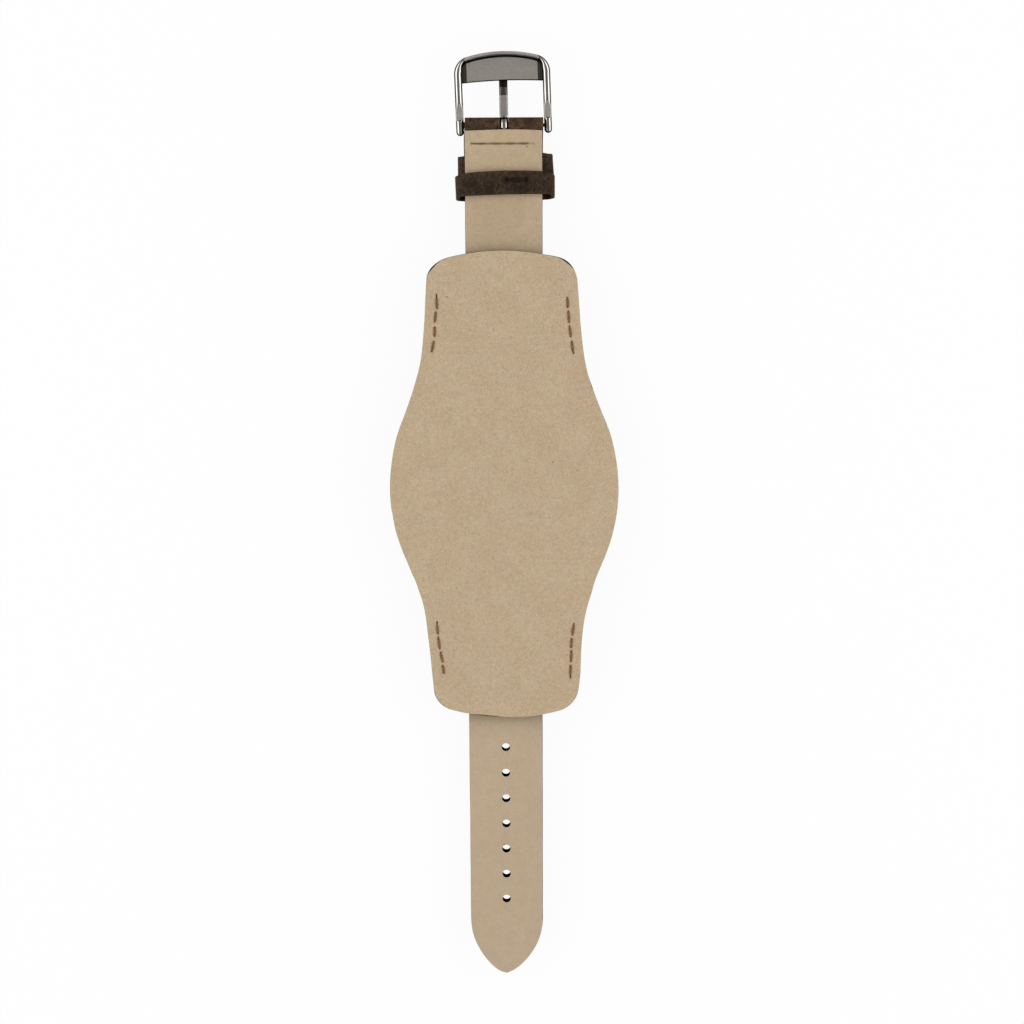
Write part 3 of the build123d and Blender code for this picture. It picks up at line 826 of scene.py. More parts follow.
@dataclass
class Workpiece:
    """One piece as it is being shaped, before it is delivered to the scene."""

    name: str
    mesh: bmesh.types.BMesh = field(default_factory=bmesh.new)
    carry: float = 1.5

    def fill(self) -> None:
        """Fills the drawn outline, and leaves its inner loops open as holes."""
        self.merge()
        bmesh.ops.triangle_fill(self.mesh, use_beauty=True, use_dissolve=False, edges=self.mesh.edges)
        bmesh.ops.dissolve_limit(
            self.mesh, angle_limit=0.01, use_dissolve_boundaries=False,
            verts=self.mesh.verts, edges=self.mesh.edges,
        )

    def circle(self, centre: tuple[float, float], radius: float, segments: int) -> None:
        """Draws a round hole's outline."""
        place = Matrix.Translation((*centre, 0))
        bmesh.ops.create_circle(self.mesh, cap_ends=False, segments=segments, radius=radius, matrix=place)

    def polygon(self, corners: Sequence[Sequence[float]]) -> None:
        """Draws a closed outline through some corners and fills it.

        Args:
            corners: The corners, in order; the line starts and ends at the last one.
        """
        chain = Chain(self.mesh, corners[-1], (0, 1))
        for corner in corners:
            chain.run(corner)
        self.fill()

    def mirrored(self, axis: str) -> None:
        """Mirrors everything drawn so far."""
        everything = [*self.mesh.verts, *self.mesh.edges, *self.mesh.faces]
        bmesh.ops.mirror(self.mesh, geom=everything, matrix=Matrix.Identity(4), merge_dist=MERGE, axis=axis)

    def merge(self) -> None:
        """Merges vertices that lie on each other."""
        bmesh.ops.remove_doubles(self.mesh, verts=self.mesh.verts, dist=MERGE)

    def lift(self, level: float) -> None:
        """Moves the whole piece along Z."""
        bmesh.ops.translate(self.mesh, vec=(0, 0, level), verts=self.mesh.verts)

    def slice(self, axis: int, places: Iterable[float], pick: Callable[[Vector], bool] | None = None) -> None:
        """Cuts faces across at given places.

        Args:
            axis: 0 to cut across X, 1 across Y.
            places: Where the cuts go.
            pick: Chooses faces by their centre; all of them if it is left out.
        """
        normal = (AXIS_X, AXIS_Y)[axis]
        for place in places:
            faces = [face for face in self.mesh.faces if pick is None or pick(face.calc_center_median())]
            edges = {edge for face in faces for edge in face.edges}
            verts = {vert for face in faces for vert in face.verts}
            bmesh.ops.bisect_plane(
                self.mesh, geom=[*verts, *edges, *faces], dist=MERGE / 2, plane_co=normal * place,
                plane_no=normal,
            )

    def divide(
        self, axis: int, low: float, high: float, pitch: float, pick: Callable[[Vector], bool] | None = None
    ) -> None:
        """Cuts faces across at even steps."""
        count = max(1, round((high - low) / pitch))
        self.slice(axis, [low + (high - low) * step / count for step in range(1, count)], pick)

    def grid(self, pitch: float) -> None:
        """Cuts the whole sheet into squares, so that it can bend and settle.

        Args:
            pitch: About how wide a square is.
        """
        for axis in (0, 1):
            places = [vert.co[axis] for vert in self.mesh.verts]
            self.divide(axis, min(places), max(places), pitch)

    def refine(self, low: Sequence[float], high: Sequence[float], pitch: float, reach: float = 4.0) -> None:
        """Cuts a rectangle of the sheet into small squares.

        Args:
            low: The rectangle's lowest corner.
            high: Its highest corner.
            pitch: About how wide a square is.
            reach: How far outside of it its border's cuts run on.
        """
        def within(centre: Vector, margin: float) -> bool:
            """Whether a face's centre is in the rectangle, or near it."""
            return all(low[i] - margin < centre[i] < high[i] + margin for i in (0, 1))

        for axis in (0, 1):
            self.slice(axis, (low[axis], high[axis]), lambda centre: within(centre, reach))
        for axis in (0, 1):
            self.divide(axis, low[axis], high[axis], pitch, lambda centre: within(centre, 0.0))

    def press(self, marks: Sequence[Press], pick: Callable[[Vector], bool] | None = None) -> None:
        """Presses marks into the sheet, and paints their stains and the painted shade in and around them.

        Args:
            marks: The marks.
            pick: Chooses the places that they reach; all of them if it is left out.
        """
        pressed = self.mesh.verts.layers.float.new(Mark.PRESSED.value)
        stained = self.mesh.verts.layers.float.new(Mark.STAIN.value)
        for vert in self.mesh.verts:
            if pick is None or pick(vert.co):
                shares = [(mark, mark.share(vert.co.x, vert.co.y)) for mark in marks]
                vert.co.z -= max(mark.depth * share for mark, share in shares)
                vert[pressed] = max(mark.dark * share for mark, share in shares)
                vert[stained] = max(mark.stain * share for mark, share in shares)

    def move(self, shift: Callable[[Vector], Vector]) -> None:
        """Moves every vertex by a shift that depends on where it is."""
        for vert in self.mesh.verts:
            vert.co += shift(vert.co.copy())

    def trim(self, amount: Callable[[Vector], float]) -> None:
        """Moves the sheet's outline outwards, and takes along what is close to it.

        Args:
            amount: How far it moves at a place.
        """
        shifts: dict[bmesh.types.BMVert, Vector] = {}
        for vert in self.mesh.verts:
            rim = [edge for edge in vert.link_edges if edge.is_boundary]
            if rim:
                outward = Vector()
                for edge in rim:
                    first, last = (end.co for end in edge.verts)
                    side = (last - first).cross(AXIS_Z).normalized()
                    inwards = edge.link_faces[0].calc_center_median() - (first + last) / 2
                    outward += side if side.dot(inwards) < 0 else -side
                shifts[vert] = outward.normalized() * amount(vert.co)
        carried: dict[bmesh.types.BMVert, Vector] = {}
        for vert, shift in shifts.items():
            for edge in vert.link_edges:
                inner = edge.other_vert(vert)
                is_close = inner not in shifts and edge.calc_length() < self.carry
                if is_close and shift.length > carried.get(inner, Vector()).length:
                    carried[inner] = shift
        for vert, shift in (shifts | carried).items():
            vert.co += shift

    def aim(self, direction: Vector) -> None:
        """Turns all faces to one side.

        Args:
            direction: Where the largest of the faces that lie farthest that way has to look.
        """
        bmesh.ops.recalc_face_normals(self.mesh, faces=self.mesh.faces)
        self.mesh.normal_update()
        farthest = max(self.mesh.faces, key=lambda face: face.calc_center_median().dot(direction))
        if farthest.normal.dot(direction) < 0:
            bmesh.ops.reverse_faces(self.mesh, faces=self.mesh.faces)

    def deliver(self, rider: Rider, finishes: Sequence[Finish]) -> bpy.types.Object:
        """Makes the piece an object that rides on a body and stands for a CAD node.

        Args:
            rider: What it rides on and stands for.
            finishes: Its finishes, in the order of its material numbers.

        Returns:
            The object.
        """
        bmesh.ops.scale(self.mesh, vec=(MM, MM, MM), verts=self.mesh.verts)
        data = bpy.data.meshes.new(self.name)
        self.mesh.to_mesh(data)
        self.mesh.free()
        data.polygons.foreach_set("use_smooth", [True] * len(data.polygons))
        for finish in finishes:
            data.materials.append(finish.material())
        piece = bpy.data.objects.new(self.name, data)
        bpy.context.scene.collection.objects.link(piece)
        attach(piece, rider.body.value)
        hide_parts(rider.node)
        log.info("%s: %d faces on %s", self.name, len(data.polygons), rider.body.value)
        return piece

    def become(self, rider: Rider, sheet: Sheet, thin_at: Callable[[Vector], float] | None = None) -> None:
        """Makes the piece a sheet of leather or board.

        Args:
            rider: What it rides on and stands for.
            sheet: What it is made of.
            thin_at: The share of the thickness at a place, for skived parts.
        """
        self.aim(sheet.side)
        piece = self.deliver(rider, sheet.finishes)
        wall = piece.modifiers.new("Thickness", "SOLIDIFY")
        wall.thickness = sheet.thickness * MM
        wall.offset = -1.0
        wall.use_even_offset = True
        wall.use_rim = True
        wall.material_offset_rim = 1
        wall.material_offset = 2
        if thin_at is not None:
            group = piece.vertex_groups.new(name="thickness")
            for vert in piece.data.vertices:
                group.add([vert.index], thin_at(vert.co / MM), "REPLACE")
            wall.vertex_group = group.name
        rounding = piece.modifiers.new("Soft edges", "BEVEL")
        rounding.width = sheet.soften * MM
        rounding.segments = 2
        rounding.limit_method = "ANGLE"
        rounding.angle_limit = math.radians(55)
        rounding.harden_normals = True
        rounding.use_clamp_overlap = True

    def solidified(self, rider: Rider, finishes: Sequence[Finish]) -> None:
        """Makes the piece solid metal, whose flat faces stay flat beside rounded ones."""
        keep = self.deliver(rider, finishes).modifiers.new("Flat faces", "WEIGHTED_NORMAL")
        keep.weight = 70


def path_frame(point: Vector, ahead: Vector, up: Vector, twist: float = 0.0, size: float = 1.0) -> Matrix:
    """The place, direction and size of a section on its path.

    Args:
        point: Where the path is.
        ahead: Where it leads, which is the section's own Z.
        up: About where the section's own Y looks.
        twist: How far the section is turned on its path.
        size: Its size.

    Returns:
        The section's matrix.
    """
    forward = ahead.normalized()
    side = up.cross(forward).normalized()
    turn = Matrix((side, forward.cross(side), forward)).transposed().to_4x4()
    return Matrix.Translation(point) @ turn @ Matrix.Rotation(twist, 4, "Z") @ Matrix.Scale(size, 4)


def sweep(mesh: bmesh.types.BMesh, section: Sequence[Sequence[float]], frames: Sequence[Matrix]) -> None:
    """Draws a closed section along a path, and closes both ends.

    Args:
        mesh: The mesh to add to.
        section: How far each of its points is from its middle, sideways and up.
        frames: The section's place at each step.
    """
    ring = bmesh.ops.create_circle(mesh, cap_ends=False, segments=len(section), radius=1.0)["verts"]
    for vert, point in zip(ring, section):
        vert.co = frames[0] @ Vector((*point, 0))
    edges = list({edge for vert in ring for edge in vert.link_edges})
    bmesh.ops.contextual_create(mesh, geom=edges)
    for before, after in zip(frames, frames[1:]):
        verts, edges = extruded(mesh, edges)
        bmesh.ops.transform(mesh, matrix=after @ before.inverted(), verts=verts)
    bmesh.ops.contextual_create(mesh, geom=edges)


def round_section(size: float, segments: int, plies: int = 0) -> list[Vector]:
    """A round section.

    Args:
        size: How wide it is.
        segments: How many points it has.
        plies: How many lobes it has, where a thread's plies lie side by side.

    Returns:
        Its points, sideways and up.
    """
    angles = [FULL_TURN * step / segments for step in range(segments)]
    lobe = 0.14 if plies else 0.0
    return [round_point(a) * (size / 2 * (1 - lobe + lobe * math.cos(plies * a))) for a in angles]


# Thread


@dataclass(frozen=True)
class Stitch:
    """One visible thread of a row: where it comes up, where it goes down, and which way is out."""

    start: tuple[float, float, float]
    end: tuple[float, float, float]
    out: Vector = AXIS_Z


@dataclass(frozen=True)
class ThreadRow:
    """A row of stitches of one twisted thread."""

    rider: Rider
    finish: Finish
    size: float = 0.62
    rise: float = 0.1
    leg: float = 0.75
    plies: int = 3
    twist_length: float = 1.9
    step_length: float = 0.14

    def lay(self, mesh: bmesh.types.BMesh, stitch: Stitch) -> None:
        """Sweeps one stitch: up out of its hole, along the leather, and down again.

        Args:
            mesh: The mesh to add to.
            stitch: The stitch.
        """
        first, last = Vector(stitch.start), Vector(stitch.end)
        middle, half = (first + last) / 2, (last - first) / 2
        count = max(8, round((2 * half.length + 2 * self.leg) / self.step_length))
        points = []
        for step in range(count + 1):
            along = -math.cos(math.pi * step / count)
            lift = self.rise - (self.rise + self.leg) * abs(along) ** 7
            points.append(middle + half * along + stitch.out * lift)
        frames = []
        travelled = 0.0
        for index, point in enumerate(points):
            before, after = points[max(0, index - 1)], points[min(count, index + 1)]
            travelled += (point - before).length
            taper = 1 - 0.5 * abs(math.cos(math.pi * index / count)) ** 5
            twist = FULL_TURN * travelled / self.twist_length
            frames.append(path_frame(point, after - before, half.cross(stitch.out), twist, taper))
        sweep(mesh, round_section(self.size, self.plies * 5, self.plies), frames)

    def build(self, stitches: Iterable[Stitch], name: str = "") -> None:
        """Lays the whole row.

        Args:
            stitches: Its stitches.
            name: The piece's name; the CAD node's with _thread behind it if it is left out.
        """
        work = Workpiece(name or f"{self.rider.node}_thread")
        for stitch in stitches:
            self.lay(work.mesh, stitch)
        bmesh.ops.recalc_face_normals(work.mesh, faces=work.mesh.faces)
        work.deliver(self.rider, [self.finish])


def plain_row(y: float, levels: Sequence[tuple[float, Vector]]) -> list[Stitch]:
    """Four even stitches across a strap.

    Args:
        y: Where they are along the strap.
        levels: The height of each face that they lie on, and which way is out of it.

    Returns:
        The stitches.
    """
    pitch, half, sunk = 3.5, 1.3, 0.12
    made = []
    for middle in (-1.5 * pitch, -0.5 * pitch, 0.5 * pitch, 1.5 * pitch):
        for level, out in levels:
            z = level - out.z * sunk
            made.append(Stitch((middle - half, y, z), (middle + half, y, z), out))
    return made


def stitch_marks(stitches: Sequence[Stitch]) -> list[Press]:
    """Finds what stitches press into a sheet.

    Args:
        stitches: The stitches.

    Returns:
        The grooves under them and the holes at both of their ends.
    """
    marks = []
    for stitch in stitches:
        first, last = stitch.start[:2], stitch.end[:2]
        # painted shade in the grooves and in the holes at the stitches' ends
        marks.append(Press(first, last, 0.42, depth=0.1, dark=0.05))
        marks.extend(Press.spot(place, 0.19, depth=0.6, dark=1.0) for place in (first, last))
    return marks


def mark_region(marks: Sequence[Press], margin: float) -> tuple[list[float], list[float]]:
    """The rectangle round some marks.

    Args:
        marks: The marks.
        margin: How far it reaches past them.

    Returns:
        Its lowest and its highest corner.
    """
    places = [place for mark in marks for place in (mark.start, mark.end)]
    low = [min(place[i] for place in places) - margin for i in (0, 1)]
    high = [max(place[i] for place in places) + margin for i in (0, 1)]
    return low, high


# The pad and its bridges


@dataclass(frozen=True)
class PadOutline:
    """A quarter of the pad's outline, from its flank to the middle of its end."""

    half_length: float = 56.15
    half_width: float = 27.15
    flank: tuple[float, float] = (23.7, 17.0)
    waist: tuple[float, float] = (18.55, 36.5)
    side: tuple[float, float] = (17.399, 49.533)
    corner: tuple[float, float] = (13.066, 54.664)

    def draw(self, work: Workpiece) -> None:
        """Draws the whole closed outline and fills it.

        Args:
            work: The piece to draw in.
        """
        chain = Chain(work.mesh, (self.half_width, 0), (0, 1))
        chain.bend(self.flank, 18).bend(self.waist, 22).bend(self.side, 16).bend(self.corner, 16)
        chain.bend((0, self.half_length), 16)
        work.mirrored("X")
        work.mirrored("Y")
        work.fill()

    def width_at(self, y: float) -> float:
        """Finds the half-width at a place along the pad, up to where its corners start.

        Args:
            y: The place.

        Returns:
            The half-width.
        """
        start, heading = Vector((self.half_width, 0)), Vector((0, 1))
        height = abs(y)
        for goal in (self.flank, self.waist, self.side):
            end = Vector(goal)
            centre, radius, turn = tangent_arc(start, heading, end)
            if height <= end.y or goal is self.side:
                break
            start, heading = end, Matrix.Rotation(turn, 2) @ heading
        reach = math.sqrt(max(0.0, radius**2 - (height - centre.y) ** 2))
        return centre.x + math.copysign(reach, start.x - centre.x)


@dataclass
class Pad:
    """The bund itself: two sheets of leather, two bridges and the thread that holds them."""

    outline: PadOutline = field(default_factory=PadOutline)
    lining_thickness: float = 1.0
    face_thickness: float = 1.2
    front: float = -2.2
    bridge_y: float = 39.3
    bridge_width: float = 16.8
    bridge_thickness: float = 1.3
    bridge_back: float = -4.7
    bridge_arch: float = 10.35
    bridge_foot: float = 12.15
    grid_pitch: float = 3.6
    sunk: float = 0.12
    top_lean: float = -0.25
    # Where the real edge swells or draws in: along the pad, over what length, at the left, at the right
    uneven: tuple[tuple[float, float, float, float], ...] = (
        (51.5, 4.0, -0.2, 0.08), (27.5, 3.5, -0.12, 0.0), (21.5, 5.0, -0.13, 0.1), (13.5, 4.5, -0.13, 0.13),
        (-15.5, 6.0, 0.2, 0.0), (-26.5, 5.0, 0.24, 0.16), (-45.5, 6.0, 0.09, 0.36),
    )
    showing: tuple[tuple[float, float, float, float], ...] = (
        (-15.8, 52.49, 2.0, 0.34),
        (15.19, 53.63, 2.0, 0.34),
        (-14.6, -52.4, 4.2, 0.44),
        (-4.6, -56.2, 5.8, 0.52),
        (20.87, 24.85, 1.0, 0.16),
        (-26.31, -6.53, 1.4, 0.2),
        (21.67, -21.96, 1.6, 0.2),
        (-22.09, -22.48, 1.4, 0.2),
    )
    # Each stitch's ends, as X and Y pairs, on the wrist face
    rows: tuple[tuple[str, tuple[tuple[float, float, float, float], ...], tuple[float, float]], ...] = (
        ("upper_left_stitching", (
            (-15.09, 45.62, -15.09, 43.21), (-15.38, 42.26, -15.7, 40.12),
            (-15.75, 38.77, -15.9, 36.76), (-16.12, 35.41, -16.7, 33.12),
        ), (-15.12, 46.39)),
        ("upper_right_stitching", (
            (15.07, 45.46, 15.14, 43.31), (15.34, 42.31, 15.53, 39.87),
            (15.67, 38.8, 15.98, 36.46), (16.24, 35.24, 16.48, 33.22),
        ), (16.72, 32.52)),
        ("lower_left_stitching", (
            (-16.55, -33.0, -16.3, -35.17), (-16.17, -36.07, -15.86, -38.87),
            (-15.62, -39.9, -15.18, -42.18), (-15.11, -43.21, -14.86, -45.02),
        ), (-16.56, -32.21)),
        ("lower_right_stitching", (
            (16.64, -32.92, 16.22, -35.59), (16.03, -36.61, 15.82, -38.78),
            (15.85, -39.66, 15.56, -42.22), (15.41, -43.37, 15.27, -45.69),
        ), (15.34, -46.47)),
    )
    points: tuple[tuple[float, float, float], ...] = (
        (-12.69, 45.85, 0.17), (12.5, 25.13, 0.1), (10.15, -1.63, 0.1), (11.73, -41.82, 0.13),
    )

    def recess(self, place: Vector) -> float:
        """How far the lining's outline moves; it draws back where the face leather shows.

        Args:
            place: The place on it.

        Returns:
            The way outwards.
        """
        back = sum(
            amount * swell(math.hypot(place.x - x, place.y - y), reach)
            for x, y, reach, amount in self.showing
        )
        return 0.03 * waviness(place.x, place.y, 2.2, 3.0) - back

    def settle(self, place: Vector) -> Vector:
        """How far the pad's sheets lie from flat, straight and even.

        Args:
            place: The place on them.

        Returns:
            The way there.
        """
        x, y, wide, high = place.x, place.y, abs(place.x), abs(place.y)
        fuller = 0.16 * swell(high - 45.5, 4.5) - 0.22 * swell(high - 29.0, 5.0)
        lean = self.top_lean * smooth(y, 0.0, 52.0)
        middle = 0.26 * max(0.0, 1 - (x / 13.0) ** 2)
        upper = middle + 0.15 * smooth(x, 9.0, 14.0) - 0.22 * smooth(-x, 12.5, 15.5)
        lower = middle - 0.14 * smooth(wide, 12.5, 16.0)
        longer = upper * smooth(y, 50.0, 55.0) - lower * smooth(-y, 50.0, 55.0)
        for at, reach, left, right in self.uneven:
            lean += swell(y - at, reach) * smooth(wide, 6.0, 17.0) * (left if x < 0 else right)
        sag = 0.05 * (waviness(x, y, 14.0, 1.0) - 1.0)
        return Vector((x / 18.5 * fuller + lean, longer, sag))

    def stitches(self, row: int, level: float, out: Vector) -> list[Stitch]:
        """Lays out a row's stitches on one face of the pad."""
        return [Stitch((x0, y0, level), (x1, y1, level), out) for x0, y0, x1, y1 in self.rows[row][1]]

    def settled(self, stitch: Stitch) -> Stitch:
        """A stitch moved along with the sheets."""
        first, last = Vector(stitch.start), Vector(stitch.end)
        return Stitch(tuple(first + self.settle(first)), tuple(last + self.settle(last)), stitch.out)

    def build_lining(self) -> None:
        """Builds the tan sheet against the wrist, pressed in under every stitch."""
        work = Workpiece("pad_lining_leather")
        self.outline.draw(work)
        work.grid(self.grid_pitch)
        marks: list[Press] = []
        for number, (_, _, spare) in enumerate(self.rows):
            row_marks = stitch_marks(self.stitches(number, -self.sunk, AXIS_Z))
            nearest = min((mark.start for mark in row_marks), key=lambda end: math.dist(end, spare))
            # a spare stitch hole, with painted shade in it
            row_marks.append(Press(spare, nearest, 0.17, depth=0.5, dark=0.95))
            work.refine(*mark_region(row_marks, 0.9), 0.22)
            marks.extend(row_marks)
        for x, y, size in self.points:
            work.refine((x - 0.5, y - 0.5), (x + 0.5, y + 0.5), 0.1)
            marks.append(Press.spot((x, y), size, depth=0.05, dark=0.85))
        work.trim(self.recess)
        work.press(marks)
        work.move(self.settle)
        sheet = Sheet((PAD_LINING, LINING_CUT, PAD_LINING), self.lining_thickness, 0.12)
        work.become(Rider(Body.PAD, "pad_lining", Slot.LINING), sheet)

    def build_face(self) -> None:
        """Builds the dark sheet on the pad's front."""
        work = Workpiece("pad_face_leather")
        self.outline.draw(work)
        work.grid(self.grid_pitch)
        work.trim(lambda place: 0.02 * waviness(place.x, place.y, 2.6, 8.0))
        work.lift(self.front)
        work.move(self.settle)
        sheet = Sheet(FACE_LAYERS, self.face_thickness, 0.14, -AXIS_Z)
        work.become(Rider(Body.PAD, "pad_face", Slot.FACE), sheet)

    def bridge_shift(self, place: Vector) -> Vector:
        """Moves a flat grid to its place on a bridge: out to the pad's edge, and over the strap.

        Args:
            place: The place on the grid.

        Returns:
            The way there.
        """
        reach = self.outline.width_at(place.y) - 0.06
        wide = across = abs(place.x)
        if wide > self.bridge_foot:
            stretch = (reach - self.bridge_foot) / (self.outline.half_width - self.bridge_foot)
            across = self.bridge_foot + (wide - self.bridge_foot) * stretch
        arch = 1 - smooth(wide, self.bridge_arch - 0.55, self.bridge_foot + 0.35)
        sag = 0.12 * arch * max(0.0, 1 - (wide / self.bridge_arch) ** 2)
        level = self.front - (self.front - self.bridge_back) * arch - self.bridge_thickness - sag * 0.5
        moved = Vector((math.copysign(across, place.x), place.y, level))
        return moved + self.settle(moved) - place

    def build_bridge(self, node: str, middle: float) -> None:
        """Builds one leather band across the pad's front.

        Args:
            node: The CAD node that it stands for.
            middle: Where its middle is along the pad.
        """
        work = Workpiece(f"{node}_leather")
        wide, half = self.outline.half_width, self.bridge_width / 2
        low, high = middle - half, middle + half
        work.polygon([(wide, high), (-wide, high), (-wide, low), (wide, low)])
        bends = [self.bridge_arch - 0.55 + 0.27 * step for step in range(11)]
        work.slice(0, [sign * place for sign in (-1, 1) for place in (*bends, 15.0, 18.0, 21.5)])
        work.slice(0, [-7.0, -3.5, 0.0, 3.5, 7.0])
        work.slice(1, [middle + half * share for share in (-0.92, -0.7, -0.35, 0.0, 0.35, 0.7, 0.92)])
        work.move(self.bridge_shift)
        work.move(lambda place: AXIS_Y * (0.05 * waviness(place.x, place.y, 3.0, 5.0)))
        sheet = Sheet(FACE_LAYERS, self.bridge_thickness, 0.16, -AXIS_Z)
        work.become(Rider(Body.PAD, node, Slot.FACE), sheet)

    def build(self) -> None:
        """Builds every piece of the pad."""
        self.build_lining()
        self.build_face()
        self.build_bridge("upper_bridge", self.bridge_y)
        self.build_bridge("lower_bridge", -self.bridge_y)
        front = self.front - self.bridge_thickness + self.sunk
        for number, (node, _, _) in enumerate(self.rows):
            row = self.stitches(number, -self.sunk, AXIS_Z) + self.stitches(number, front, -AXIS_Z)
            thread = ThreadRow(Rider(Body.PAD, node, Slot.GOLDEN_THREAD), GOLDEN_THREAD)
            thread.build(map(self.settled, row))


# The straps


@dataclass(frozen=True)
class FoldLine:
    """The turn of the face leather round a bar, seen from the side, in Y and Z."""

    y: float
    z: float
    radius: float
    way: int
    front_run: float
    back_run: float
    strap_front: float = -4.55
    flap_level: float = -3.15

    @property
    def centre(self) -> Vector:
        """The bar's axis."""
        return Vector((self.y, self.z))

    @property
    def front_root(self) -> Vector:
        """Where the front leaves the flat strap."""
        return Vector((self.y - self.way * self.front_run, self.strap_front))

    @property
    def back_root(self) -> Vector:
        """Where the flap ends under the lining."""
        return Vector((self.y - self.way * self.back_run, self.flap_level))

    @property
    def front_touch(self) -> Vector:
        """Where the front meets the round of the fold."""
        return touch_point(self.front_root, self.centre, self.radius, upper=False)

    @property
    def back_touch(self) -> Vector:
        """Where the flap leaves the round of the fold."""
        return touch_point(self.back_root, self.centre, self.radius, upper=True)

    def sweep_angle(self) -> float:
        """How far the leather turns round the bar, about +X."""
        return turned(self.front_touch - self.centre, self.back_touch - self.centre, self.way > 0)

    def back_height(self, y: float) -> float:
        """The flap's height at a place along the strap."""
        return height_between(self.back_root, self.back_touch, y)

    def front_height(self, y: float) -> float:
        """The front's height at a place along the strap."""
        return height_between(self.front_root, self.front_touch, y)

    def wrap(self, work: Workpiece) -> None:
        """Takes a flat sheet's end edge up the front, round the bar and back as the flap.

        Args:
            work: The sheet.
        """
        end = self.front_root.x
        edges = [edge for edge in work.mesh.edges if all(abs(vert.co.y - end) < 0.01 for vert in edge.verts)]
        edges = push_edges(work.mesh, edges, self.front_touch - self.front_root, 3)
        made = bmesh.ops.spin(
            work.mesh, geom=edges, cent=(0, *self.centre), axis=AXIS_X, angle=self.sweep_angle(), steps=16
        )["geom_last"]
        push_edges(work.mesh, only(made, bmesh.types.BMEdge), self.back_root - self.back_touch, 4)


def push_edges(mesh: bmesh.types.BMesh, edges: list, shift: Vector, steps: int) -> list:
    """Pushes a row of edges out, in the plane of Y and Z.

    Args:
        mesh: The mesh.
        edges: The row of edges.
        shift: The whole way, along Y and Z.
        steps: How many faces the way is made of.

    Returns:
        The row at the far end.
    """
    for _ in range(steps):
        verts, edges = extruded(mesh, edges)
        bmesh.ops.translate(mesh, vec=(0, shift.x / steps, shift.y / steps), verts=verts)
    return edges


def height_between(first: Vector, last: Vector, y: float) -> float:
    """The height at a place on a line between two points in the plane of Y and Z, level past them."""
    share = min(1.0, max(0.0, (y - first.x) / (last.x - first.x)))
    return first.y + (last.y - first.y) * share


@dataclass
class Strap:
    """What the buckle strap and the tail share: three layers of the same width, folded round bars."""

    body: Body = Body.TAIL_STRAP
    half_width: float = 9.0
    lining_back: float = -2.35
    core_back: float = -3.15
    face_front: float = -4.55
    fold_wall: float = 0.93
    skived_edge: float = 0.3
    lining_stop: float = 1.0
    soft_turn: float = 0.45
    drift: float = 0.0

    def folds(self) -> tuple[FoldLine, ...]:
        """The strap's folds."""
        raise NotImplementedError

    def settle(self, place: Vector) -> Vector:
        """How far a strap's layers lie from flat and straight at a place."""
        across = 0.05 * waviness(0.0, place.y, 11.0, 6.0)
        return Vector((self.drift + across, 0, 0.04 * waviness(place.x, place.y, 9.0, 2.0)))

    def lining_level(self, y: float) -> float:
        """Finds the lining's height, which rises softly over the flaps.

        Args:
            y: The place along the strap.

        Returns:
            The height.
        """
        level = self.lining_back
        for fold in self.folds():
            stop = fold.y - fold.way * self.lining_stop
            high = fold.back_height(stop) + self.skived_edge
            slope = (high - self.lining_back) / abs(stop - fold.back_root.x)
            past = (y - fold.back_root.x) * fold.way / self.soft_turn
            level += slope * self.soft_turn * math.log1p(math.exp(min(40.0, past)))
        return level

    def face_share(self, place: Vector) -> float:
        """How thick the face leather is: thinner round the bars, and skived away at the flaps' ends.

        Args:
            place: The place on it.

        Returns:
            The share of its full thickness.
        """
        share = 1.0
        for fold in self.folds():
            past = (place.y - fold.front_root.x) * fold.way
            share = min(share, 1.0 - (1.0 - self.fold_wall) * smooth(past, 0.0, 3.0))
            is_flap = place.z > fold.z + 0.2 and (place.y - fold.back_root.x) * fold.way > -0.2
            if is_flap and abs(place.y - fold.y) < fold.back_run + 0.3:
                room = fold.back_height(place.y) - fold.front_height(place.y) - 1.02
                share = min(share, max(0.3, room))
        return share

    def sew(self, node: str, fold: FoldLine, y: float) -> None:
        """Sews plain rows across a fold that the pad covers."""
        row = ThreadRow(Rider(self.body, node, Slot.GOLDEN_THREAD), GOLDEN_THREAD, size=0.5, rise=0.06)
        row.build(plain_row(y, ((self.lining_level(y), AXIS_Z), (fold.front_height(y), -AXIS_Z))))


